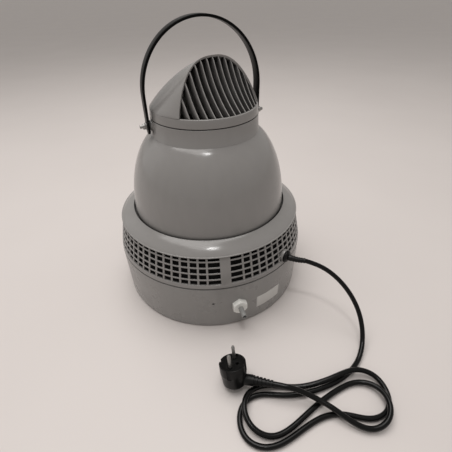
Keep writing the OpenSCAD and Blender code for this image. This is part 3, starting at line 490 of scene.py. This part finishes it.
def block(name, low, high):
    """A box mesh that gets its bevels from the caller."""
    (x0, y0, z0), (x1, y1, z1) = low, high
    corners = [Vector((x, y, z)) for x in (x0, x1) for y in (y0, y1) for z in (z0, z1)]
    faces = [(0, 1, 3, 2), (4, 6, 7, 5), (0, 4, 5, 1), (2, 3, 7, 6), (0, 2, 6, 4), (1, 5, 7, 3)]
    return mesh_from(name, corners, faces)


def smooth_line(points, per_span):
    """A smooth line along points, as a cubic B-spline that starts and ends on them."""
    out = []
    last = len(points) - 1
    for i in range(last):
        a = points[i - 1] if i > 0 else 2 * points[0] - points[1]
        b, c = points[i], points[i + 1]
        d = points[i + 2] if i < last - 1 else 2 * points[last] - points[last - 1]
        for k in range(per_span):
            t = k / per_span
            out.append((a * (1 - t) ** 3 + b * (3 * t ** 3 - 6 * t * t + 4)
                        + c * (3 * t * t + 3 * t + 1 - 3 * t ** 3) + d * t ** 3) / 6)
    out.append(points[-1])
    return out


def refined(node, slot, bevel=0.25 * MM, segments=2, angle=35, name=None):
    """A CAD node's own shape with its flat faces merged and its edges rounded."""
    source = frame["nodes"][node]
    mesh = source.data.copy()
    bm = bmesh.new()
    bm.from_mesh(mesh)
    bmesh.ops.remove_doubles(bm, verts=bm.verts, dist=0.00001)
    bmesh.ops.dissolve_limit(bm, angle_limit=math.radians(1), verts=bm.verts, edges=bm.edges)
    bm.to_mesh(mesh)
    bm.free()
    if bevel:
        mesh = bevelled(mesh, bevel, segments, angle)
    piece = finish_mesh(name or node + "_piece", mesh, slot, source["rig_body"])
    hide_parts(node)
    return piece


def carried_over(node, slot):
    """A CAD node whose shape is right, with smooth curves and its material."""
    mesh = frame["nodes"][node].data
    mesh.polygons.foreach_set("use_smooth", [True] * len(mesh.polygons))
    mesh.set_sharp_from_angle(angle=math.radians(35))
    mesh.materials.clear()
    mesh.materials.append(MATERIALS[slot])


# ---------- Mains lead ----------

GLAND_Z = RING_Z + 12 * MM
GLAND_PAD = TANK_TOP_R - RING_TAPER * (GLAND_Z - 10 * MM - RING_Z) / (RING_TOP - RING_Z)
GLAND_WAY = Vector((math.cos(GLAND_AZ), math.sin(GLAND_AZ), 0))
CORD_SHIFT = (GLAND_PAD - 161 * MM) * GLAND_WAY
PLUG_FACE = Vector((33.4, -248.2, 38.6)) * MM + CORD_SHIFT
PLUG_TILT = (-16.7, -11.1, -15.6)
PLUG_FACE_R = 18.5 * MM
RELIEF_L = 30 * MM
RELIEF_DROOP = math.radians(3)
RELIEF_ROOT = Vector((PLUG_FACE_R + 7 * MM, 0, -26 * MM))
RELIEF_WAY = Vector((math.cos(RELIEF_DROOP), 0, -math.sin(RELIEF_DROOP)))
# The route's points in millimetres: down from the boot, then laid in a loose coil up to the plug.
CORD_ROUTE = [
    (152, -117, 101), (176, -124, 96), (197, -135, 85), (215, -149, 69), (228, -165, 50),
    (234, -180, 32), (234, -196, 17),
    (229, -212, 8), (219, -229, 4), (203, -245, 4), (183, -258, 4), (158, -268, 4),
    (130, -276, 4), (100, -278, 4), (72, -273, 4), (47, -282, 4), (38, -307, 4), (47, -332, 4),
    (72, -341, 4), (97, -333, 4), (121, -318, 4), (146, -305, 4), (169, -301, 4), (190, -306, 4),
    (211, -311, 4), (235, -302, 4), (244, -278, 4), (235, -253, 8), (210, -245, 12), (188, -252, 13),
    (165, -261, 12), (141, -266, 8), (119, -267, 4), (99, -264, 4), (79, -262, 5), (54, -272, 11),
    (44, -296, 15), (54, -320, 9), (79, -330, 4), (103, -320, 4), (127, -302, 4), (151, -285, 4),
    (178, -270, 4), (204, -259, 4), (229, -266, 8), (238, -291, 15), (229, -316, 11), (204, -325, 5),
    (181, -315, 9), (162, -300, 14), (143, -288, 15), (123, -280, 21),
]


def plug_matrix():
    """The plug's own frame: z along its pins, x towards its cable."""
    turn = Euler([math.radians(a) for a in PLUG_TILT], "XYZ").to_matrix().to_4x4()
    return Matrix.Translation(PLUG_FACE) @ turn


def cord_route():
    """The route in metres, ending inside the line of the plug's relief."""
    points = [Vector(p) * MM + CORD_SHIFT for p in CORD_ROUTE]
    for reach in (RELIEF_L + 16 * MM, RELIEF_L):
        points.append(plug_matrix() @ (RELIEF_ROOT + reach * RELIEF_WAY))
    return points


def add_cord():
    """The lead as one smooth curve along its route, from the boot to the plug's relief."""
    points = smooth_line(cord_route(), 12)
    data = bpy.data.curves.new("mains_cord_sheath", "CURVE")
    data.dimensions = "3D"
    spline = data.splines.new("POLY")
    spline.points.add(len(points) - 1)
    for target, p in zip(spline.points, points):
        target.co = (*p, 1.0)
    data.bevel_depth = CORD_D / 2
    data.bevel_resolution = 5
    data.use_fill_caps = True
    spline.use_smooth = True
    cord = bpy.data.objects.new("mains_cord_sheath", data)
    bpy.context.scene.collection.objects.link(cord)
    data.materials.append(MATERIALS["black_cable"])
    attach(cord, "housing")
    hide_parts("mains_cord")
    length = sum((b - a).length for a, b in zip(points, points[1:]))
    return cord, points, length


cord, cord_points, cord_length = add_cord()
print("cord length", round(cord_length, 4))

# ---------- Tank and ring ----------

def ring_r(z):
    return TANK_TOP_R - RING_TAPER * (z - RING_Z) / (RING_TOP - RING_Z)


def add_tank():
    """The round tank, with its moulded foot edge, seam lip and drilled holes, as the CAD has it."""
    refined("tank", "tank_plastic", bevel=0.8 * MM, segments=3, angle=40, name="tank_shell")


def hoop(z0, z1, depth=1.5 * MM):
    """One horizontal bar of the slotted ring, rounded on its corners."""
    outline = [
        (ring_r(z0) - depth, z0, 0.4 * MM), (ring_r(z0), z0, 0.7 * MM),
        (ring_r(z1), z1, 0.7 * MM), (ring_r(z1) - depth, z1, 0.4 * MM),
    ]
    return revolved("hoop", fillet(outline, 3), 216)


def upright(width, z0, z1, inset=0.0, depth=3.0 * MM):
    """One upright between slots: a plain panel is flush with the hoops, a rib a little behind."""
    verts = []
    for z in (z0, z1):
        for x in (ring_r(z) - depth, ring_r(z) - inset):
            for y in (-width / 2, width / 2):
                verts.append((x, y, z))
    faces = [(0, 1, 3, 2), (4, 6, 7, 5), (0, 4, 5, 1), (2, 3, 7, 6), (0, 2, 6, 4), (1, 5, 7, 3)]
    return bevelled(mesh_from("upright", verts, faces), 0.45 * MM, 2)


def add_intake_ring():
    """Bands, hoops, plain panels and uprights of the slotted ring, with its lugs and gland pad."""
    band_h, slot_h, pitch, flange = 7 * MM, 7.4 * MM, 9.9 * MM, 0.8 * MM
    first = RING_Z + band_h
    inner = TANK_TOP_R - 3.4 * MM
    shelf = RING_Z + 3 * MM
    low = TANK_H - 8 * MM
    outline = [
        (inner - 3 * MM, low, 0.4 * MM), (inner, low, 0.4 * MM), (inner, RING_Z, 0),
        (TANK_TOP_R, RING_Z, 1.0 * MM), (ring_r(first), first, 0.8 * MM),
        (ring_r(first) - 3 * MM, first, 0.4 * MM), (ring_r(shelf) - 3 * MM, shelf, 0),
        (inner - 3 * MM, shelf, 0.3 * MM),
    ]
    meshes = [revolved("band", fillet(outline, 4), 216)]
    for k in range(4):
        z = first + k * pitch + slot_h
        meshes.append(hoop(z, z + pitch - slot_h))
    top = [
        (RING_TOP_R - 6 * MM, RING_TOP - flange, 0), (RING_TOP_R - 0.4 * MM, RING_TOP - flange, 0.2 * MM),
        (RING_TOP_R - 0.4 * MM, RING_TOP, 0.2 * MM), (RING_TOP_R - 6 * MM, RING_TOP, 0),
    ]
    meshes.append(revolved("flange", fillet(top, 2), 216))
    z0, z1 = first - 2 * MM, RING_TOP - flange / 2
    for p in range(4):
        start = PANEL_AZ + p * math.pi / 2
        meshes.append(turned(upright(PANEL_W, z0, z1), start))
        for i in range(RIB_COUNT):
            meshes.append(turned(upright(RIB_W, z0, z1, RIB_INSET), start + RIB_STEP * (2 + i)))
        lug = block(
            "lug", (RING_TOP_R - 18 * MM, -7 * MM, RING_TOP - 9 * MM),
            (RING_TOP_R - 1.5 * MM, 7 * MM, RING_TOP),
        )
        meshes.append(turned(bevelled(lug, 0.4 * MM), start))
    pad = revolved("pad", fillet([
        (6 * MM, GLAND_PAD - 8 * MM, 0), (10.6 * MM, GLAND_PAD - 8 * MM, 0),
        (10.6 * MM, GLAND_PAD, 0.6 * MM), (6 * MM, GLAND_PAD, 0.3 * MM),
    ], 3), 48)
    pad.transform(Matrix.Rotation(math.pi / 2, 4, "Y"))
    meshes.append(turned(pad, GLAND_AZ, Vector((0, 0, GLAND_Z))))
    piece = finish_mesh("slotted_ring", joined("slotted_ring", meshes), "grey_plastic", "housing")
    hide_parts("intake_ring")


def add_collar():
    """The convex collar with its thin outer lip and rolled inner edge."""
    steps, power, wall = 40, 1.67, 2.6 * MM
    lip_w, lip_h = 2.0 * MM, 1.8 * MM
    z0 = RING_TOP + lip_h
    height = COLLAR_TOP - z0
    width = COLLAR_R - COLLAR_IN - lip_w

    def curve(w, h, base_r, base_z):
        out = []
        for i in range(steps + 1):
            a = math.pi / 2 * i / steps
            out.append((base_r + w * max(math.cos(a), 0) ** power, base_z + h * math.sin(a) ** power, 0))
        return out

    outer = curve(width, height, COLLAR_IN, z0)
    inner = curve(width - 2 * wall, height - wall, COLLAR_IN + wall, z0)
    foot = DOME_Z + 0.2 * MM
    outline = [
        (COLLAR_R - lip_w - wall, RING_TOP, 0), (COLLAR_R, RING_TOP, 0.8 * MM), (COLLAR_R, z0, 0.8 * MM),
        (COLLAR_R - lip_w + 0.2 * MM, z0, 0.3 * MM),
    ] + outer[2:-1] + [(COLLAR_IN, COLLAR_TOP, 0.9 * MM)] + [
        (COLLAR_IN, foot, 0.2 * MM), (COLLAR_IN + wall, foot, 0.2 * MM),
    ] + inner[::-1]
    mesh = revolved("collar_ring", fillet(outline, 4), 256)
    piece = finish_mesh("collar_ring", mesh, "grey_plastic", "housing", 60)
    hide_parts("collar")


# ---------- Dome ----------

CORE_R = 60 * MM
NECK_R = CAP_R + 0.9 * MM
DOME_WALL = 2.6 * MM

NECK_Z = PIVOT_Z - 16.5 * MM


def add_dome():
    """The dome, its neck, the bosses of the handle's pivots and its inner wall."""
    side_z = NECK_Z - SHOULDER_H
    lean = (NECK_R - CORE_R) / (DOME_R - CORE_R)
    b = (NECK_Z - side_z) / math.sqrt(1 - lean * lean)
    steps = 48

    def wall(inset, i):
        z = side_z + (NECK_Z - side_z - inset * 0.8) * math.sin(math.pi / 2 * i / steps)
        r = CORE_R + (DOME_R - CORE_R - inset) * math.sqrt(max(0.0, 1 - ((z - side_z) / (b - inset)) ** 2))
        return r, z, 0

    outer = [wall(0, i) for i in range(steps)]
    inner = [wall(DOME_WALL, i) for i in range(steps, -1, -1)]
    neck_top = DOME_NECK_TOP
    bore = CAP_R - DOME_WALL
    foot_in = DOME_R - 10 * MM
    outline = [(foot_in, DOME_Z, 0), (DOME_R, DOME_Z, 0.4 * MM)] + outer + [
        (NECK_R + 0.5 * MM, NECK_Z - 0.1 * MM, 0), (NECK_R, NECK_Z + 0.5 * MM, 0),
        (CAP_R, neck_top, 0.7 * MM), (bore, neck_top, 0.5 * MM), (bore, neck_top - 4 * MM, 0),
        (bore - 0.9 * MM, neck_top - 4 * MM, 0.2 * MM), (bore - 0.9 * MM, neck_top - 6 * MM, 0.2 * MM),
        (bore, neck_top - 6 * MM, 0), (bore, NECK_Z, 0),
    ] + inner + [(DOME_R - DOME_WALL, DOME_Z + 3 * MM, 0), (foot_in, DOME_Z + 3 * MM, 0)]
    meshes = [revolved("dome", fillet(outline, 4), 256)]
    for side in (0, math.pi):
        boss = revolved("boss", fillet([
            (2.5 * MM, NECK_R - 2 * MM, 0), (7.5 * MM, NECK_R - 2 * MM, 0),
            (7.5 * MM, NECK_R + 1.6 * MM, 0.7 * MM), (2.5 * MM, NECK_R + 1.6 * MM, 0.2 * MM),
        ], 4), 48)
        boss.transform(Matrix.Rotation(math.pi / 2, 4, "Y"))
        meshes.append(turned(boss, HANDLE_AZ + side, Vector((0, 0, PIVOT_Z))))
    piece = finish_mesh("dome_shell", joined("dome_shell", meshes), "grey_plastic", "housing", 40)
    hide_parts("dome")


DOME_NECK_TOP = NECK_Z + NECK_H

# ---------- Outlet cap ----------

CORNER = math.radians(56)
ARCH_HALF = RIM_R * math.sin(CORNER)
ARCH_FOOT = RIM_R * math.cos(CORNER)
ARCH_LEAN = 0.245
HOOD_WALL = 3.0 * MM
BULGE = 7.0 * MM


def arch_z(s):
    return HOOD_H * max(0.0, 1 - abs(s / ARCH_HALF) ** 2.6) ** 0.833


def hood_point(u, v):
    """A point on the hood: u from side to side, v from the arch back to the rim."""
    s = ARCH_HALF * math.sin(math.pi / 2 * u)
    z = arch_z(s)
    a = Vector((ARCH_FOOT - ARCH_LEAN * z, s, z))
    turn = math.pi - (math.pi - CORNER) * u
    b = Vector((RIM_R * math.cos(turn), RIM_R * math.sin(turn), 0))
    swell = BULGE * (b - a).length / (RIM_R + HOOD_H / 1.4)
    return a.lerp(b, v) + ((a + b) / 2).normalized() * swell * 4 * v * (1 - v)


def add_hood():
    """The hood's skin with a rounded edge around its opening."""
    cols, rows = 96, 30
    us = [0.975 * (2 * i / cols - 1) for i in range(cols + 1)]
    outer = [hood_point(u, j / rows) for j in range(rows + 1) for u in us]
    inner = [p * (1 - HOOD_WALL / p.length) for p in outer]
    n = cols + 1
    k = len(outer)
    faces = []
    for j in range(rows):
        for i in range(cols):
            quad = (j * n + i, j * n + i + 1, (j + 1) * n + i + 1, (j + 1) * n + i)
            faces.append(quad)
            faces.append(tuple(k + q for q in quad[::-1]))
    for i in range(cols):
        faces.append((i + 1, i, k + i, k + i + 1))
        a = rows * n + i
        faces.append((a, a + 1, k + a + 1, k + a))
    for j in range(rows):
        a, b = j * n, j * n + cols
        faces.append((a, a + n, k + a + n, k + a))
        faces.append((b + n, b, k + b, k + b + n))
    mesh = bevelled(mesh_from("hood", outer + inner, faces), 0.55 * MM, 3, 45)
    mesh = turned(mesh, OUTLET_AZ, Vector((0, 0, RIM_Z)))
    piece = finish_mesh("hood_shell", mesh, "grey_plastic", "outlet_cap", 45)
    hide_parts("outlet_hood")


def add_cap_base():
    """The cap's skirt, rounded at both edges, and the spigot that turns in the neck."""
    cap_z = RIM_Z - CAP_SKIRT
    spigot_r = CAP_R - DOME_WALL - 1.3 * MM
    spigot_in = spigot_r - 2.4 * MM
    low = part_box("outlet_base")[0].z
    groove = DOME_NECK_TOP - 6 * MM - 1.9 * MM
    outline = [
        (spigot_in, low, 0.4 * MM), (spigot_r, low, 0.5 * MM), (spigot_r, groove, 0),
        (spigot_r - 1 * MM, groove, 0),
        (spigot_r - 1 * MM, groove + 1.6 * MM, 0), (spigot_r, groove + 1.6 * MM, 0), (spigot_r, cap_z, 0),
        (CAP_R, cap_z, 0.8 * MM), (RIM_R, RIM_Z, 1.1 * MM), (RIM_R - HOOD_WALL, RIM_Z, 0.5 * MM),
        (RIM_R - HOOD_WALL, cap_z + 2.4 * MM, 0.5 * MM), (spigot_in, cap_z + 2.4 * MM, 0.4 * MM),
    ]
    mesh = revolved("cap_skirt", fillet(outline, 4), 256)
    piece = finish_mesh("cap_skirt", mesh, "grey_plastic", "outlet_cap", 42)
    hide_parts("outlet_base")


# ---------- Handle ----------

def rounded_strap_section(width, thickness, radius, steps=4):
    """The strap's cross-section: x across its width, y through its thickness, with rounded corners."""
    return fillet([
        (-width / 2, -thickness / 2, radius), (width / 2, -thickness / 2, radius),
        (width / 2, thickness / 2, radius), (-width / 2, thickness / 2, radius),
    ], steps)


def add_strap():
    """The strap as one bent strip with rounded edges, and round eyes at its ends for its studs."""
    boss, spacer, washer_gap = 1.6 * MM, 1.2 * MM, 0.2 * MM
    out = NECK_R + boss + spacer + washer_gap + STRAP_T
    thick, width, leg = STRAP_T, STRAP_W, 39 * MM
    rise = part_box("handle_strap")[1].z - PIVOT_Z
    mid = out - thick / 2
    bow_h = rise - leg - thick / 2
    line = []
    for i in range(6):
        line.append(Vector((mid, 0, -4 * MM + (leg + 4 * MM) * i / 6)))
    for i in range(73):
        a = math.pi * i / 72
        line.append(Vector((mid * math.cos(a), 0, leg + bow_h * math.sin(a))))
    for i in range(1, 7):
        line.append(Vector((-mid, 0, leg - (leg + 4 * MM) * i / 6)))
    section = rounded_strap_section(width, thick, 1.1 * MM)
    n = len(section)
    verts, faces = [], []
    for i, p in enumerate(line):
        t = (line[min(i + 1, len(line) - 1)] - line[max(i - 1, 0)]).normalized()
        outward = Vector((t.z, 0, -t.x))
        for x, y in section:
            verts.append(p + Vector((0, x, 0)) + outward * y)
    for i in range(len(line) - 1):
        for k in range(n):
            m = (k + 1) % n
            faces.append((i * n + k, (i + 1) * n + k, (i + 1) * n + m, i * n + m))
    faces.append(tuple(range(n)))
    faces.append(tuple((len(line) - 1) * n + k for k in range(n))[::-1])
    meshes = [mesh_from("strap", verts, faces)]
    for side in (1, -1):
        eye = revolved("eye", fillet([
            (0, -thick / 2, 0), (width / 2, -thick / 2, 1.1 * MM), (width / 2, thick / 2, 1.1 * MM),
            (0, thick / 2, 0),
        ], 4), 48)
        eye.transform(Matrix.Translation((side * mid, 0, -4 * MM)) @ Matrix.Rotation(math.pi / 2, 4, "Y"))
        meshes.append(eye)
    mesh = turned(joined("strap", meshes), HANDLE_AZ, Vector((0, 0, PIVOT_Z)))
    piece = finish_mesh("carry_strap", mesh, "strap_black", "handle", 42)
    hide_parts("handle_strap")


# ---------- Mains lead's ends ----------

def add_boot():
    """The lead's tapered strain relief, with ribs that thin towards its tip."""
    up = Vector((0, 0, GLAND_Z))
    points = smooth_line([
        (GLAND_PAD + 6 * MM) * GLAND_WAY + up,
        CORD_SHIFT + Vector((140, -113.5, 0)) * MM + up,
        cord_route()[0],
    ], 16)
    radii = []
    for i in range(len(points)):
        t = i / (len(points) - 1)
        base = (CORD_D / 2 + 1.4 * MM) * (1 - t) + (CORD_D / 2 + 0.5 * MM) * t
        groove = 0.45 * MM if (i % 5) in (2, 3) and 3 < i < len(points) - 3 else 0
        radii.append(base - groove)
    mesh = tube_mesh("cord_relief", points, radii, 28)
    piece = finish_mesh("cord_relief", mesh, "black_rubber", "housing", 50)
    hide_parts("cord_boot")
    return piece


def add_plug():
    """An angled two-pin plug body with a stepped face, an earth hole, side grooves and a ribbed relief."""
    face_r, height = PLUG_FACE_R, 36.5 * MM
    profile = fillet([
        (0.2 * MM, -height, 0), (face_r - 7 * MM, -height, 2.5 * MM),
        (face_r - 2 * MM, -height + 6 * MM, 3 * MM),
        (face_r - 0.6 * MM, -16 * MM, 2 * MM), (face_r, -13 * MM, 1 * MM), (face_r, 0, 0.9 * MM),
        (face_r - 1.6 * MM, 0, 0.4 * MM), (face_r - 2.0 * MM, -0.9 * MM, 0.4 * MM), (0.2 * MM, -0.9 * MM, 0),
    ], 5)
    body = revolved("plug", profile, 72)
    cutters = []
    for side in (-1, 1):
        groove = revolved("groove", [
            (0, -12 * MM), (3.6 * MM, -12 * MM), (3.6 * MM, 2 * MM), (0, 2 * MM),
        ], 24)
        groove.transform(Matrix.Translation((side * (face_r + 1.2 * MM), 0, 0)))
        y = side * (face_r - 1.2 * MM) - 2.6 * MM
        cutters += [groove, block("slot", (-3 * MM, y - 2.6 * MM, -15 * MM), (3 * MM, y + 2.6 * MM, 3 * MM))]
    hole = revolved("hole", [(0, -10 * MM), (2.5 * MM, -10 * MM), (2.5 * MM, 2 * MM), (0, 2 * MM)], 28)
    hole.transform(Matrix.Translation((7 * MM, 0, 0)))
    cutters.append(hole)
    body = bevelled(carved(body, joined("cutters", cutters)), 0.3 * MM, 2, 50)
    stub = revolved("stub", [
        (0.1 * MM, 0.0), (7.4 * MM, 0.0), (7.4 * MM, RELIEF_ROOT.x), (0.1 * MM, RELIEF_ROOT.x),
    ], 40)
    stub.transform(Matrix.Translation((0, 0, RELIEF_ROOT.z)) @ Matrix.Rotation(math.pi / 2, 4, "Y"))
    outline = [(0.1 * MM, -0.6 * MM), (6.9 * MM, -0.6 * MM)]
    ribs = 6
    for i in range(ribs):
        a, b, c = (RELIEF_L * (i + k) / ribs for k in (0, 0.62, 1))
        wide = 6.9 * MM + (4.3 - 6.9) * MM * i / ribs
        narrow = wide - 1.3 * MM
        outline += [(wide, a + 0.4 * MM), (wide, b), (narrow, b + 0.3 * MM), (narrow, c - 0.1 * MM)]
    outline += [(4.1 * MM, RELIEF_L - 0.2 * MM), (0.1 * MM, RELIEF_L)]
    relief = revolved("relief", outline, 40)
    relief.transform(Matrix.Translation(RELIEF_ROOT) @ Matrix.Rotation(math.pi / 2 + RELIEF_DROOP, 4, "Y"))
    mesh = joined("plug", [body, stub, relief])
    mesh.transform(plug_matrix())
    piece = finish_mesh("plug_shell", mesh, "black_rubber", "housing", 45)
    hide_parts("plug_body")
    return piece


# ---------- Floor and light ----------

def add_floor():
    """A plain pale floor, wide enough to fill the view."""
    mat, tree, shader, coords = new_material("floor")
    base = ramp(tree, noise(tree, coords, 3, 2), [(0.3, (0.672, 0.628, 0.608)), (0.7, (0.692, 0.648, 0.628))])
    tree.links.new(base, shader.inputs["Base Color"])
    shader.inputs["Roughness"].default_value = 0.5
    size = 90.0
    corners = [(-size, -size, 0), (size, -size, 0), (size, size, 0), (-size, size, 0)]
    mesh = mesh_from("floor", corners, [(0, 1, 2, 3)])
    mesh.transform(Matrix.Translation((0, 0, -0.0003)))
    mesh.materials.append(mat)
    floor = bpy.data.objects.new("floor", mesh)
    bpy.context.scene.collection.objects.link(floor)


def add_light(name, place, aim, size, power, colour):
    data = bpy.data.lights.new(name, "AREA")
    data.shape = "RECTANGLE"
    data.size, data.size_y = size
    data.energy = power
    data.color = colour
    light = bpy.data.objects.new(name, data)
    bpy.context.scene.collection.objects.link(light)
    light.location = place
    light.rotation_euler = (Vector(aim) - Vector(place)).to_track_quat("-Z", "Y").to_euler()


def add_studio():
    """A broad ceiling light, a small lamp in front and a faint one at the left, in a dim surround."""
    world = bpy.data.worlds.new("studio")
    world.use_nodes = True
    background = world.node_tree.nodes["Background"]
    background.inputs["Color"].default_value = (1.0, 0.96, 0.92, 1.0)
    background.inputs["Strength"].default_value = 0.42
    bpy.context.scene.world = world
    add_light("ceiling", (-0.25, 0.25, 2.0), (0, 0, 0.15), (1.7, 1.4), 26, (1.0, 0.97, 0.945))
    add_light("lamp", (0.05, -0.75, 2.3), (0, -0.1, 0.15), (0.32, 0.10), 5.5, (1.0, 0.99, 0.98))
    add_light("window", (-1.9, 0.5, 0.9), (0, 0, 0.25), (1.4, 1.6), 1.6, (0.98, 0.99, 1.0))
    bpy.context.scene.view_settings.view_transform = "Standard"


# ---------- Putting it together ----------

add_tank()
add_intake_ring()
add_collar()
add_dome()
add_cap_base()
add_hood()
refined("outlet_louvres", "louvre_plastic", bevel=0.3 * MM, segments=2, name="louvres")
add_strap()
boot = add_boot()
plug = add_plug()
pins = refined("plug_pins", "steel", bevel=0.3 * MM, name="contact_pins")
clips = refined("plug_earth_clips", "brass", bevel=0.15 * MM, name="earth_clips")
FINE = {
    "inlet_fitting": "white_plastic", "inlet_nut": "white_plastic", "inlet_pipe": "pipe_grey",
    "rating_plate": "plate_foil", "cable_gland": "black_plastic", "handle_studs": "steel",
    "handle_spacers": "grey_plastic", "handle_washers": "steel", "handle_nuts": "steel",
    "bracket_screws": "steel", "motor_bracket": "inner_plastic", "comb_ring": "inner_plastic",
    "motor_cap": "motor_metal", "motor_can": "motor_metal", "fan": "rotor_plastic",
}
for node, slot in FINE.items():
    refined(node, slot, bevel=(0.12 if node == "rating_plate" else 0.35) * MM)
for part in frame["record"]["subparts"]:
    node = part["node"]
    if not frame["nodes"][node].hide_render:
        carried_over(node, part["material_slot"])
add_floor()
add_studio()
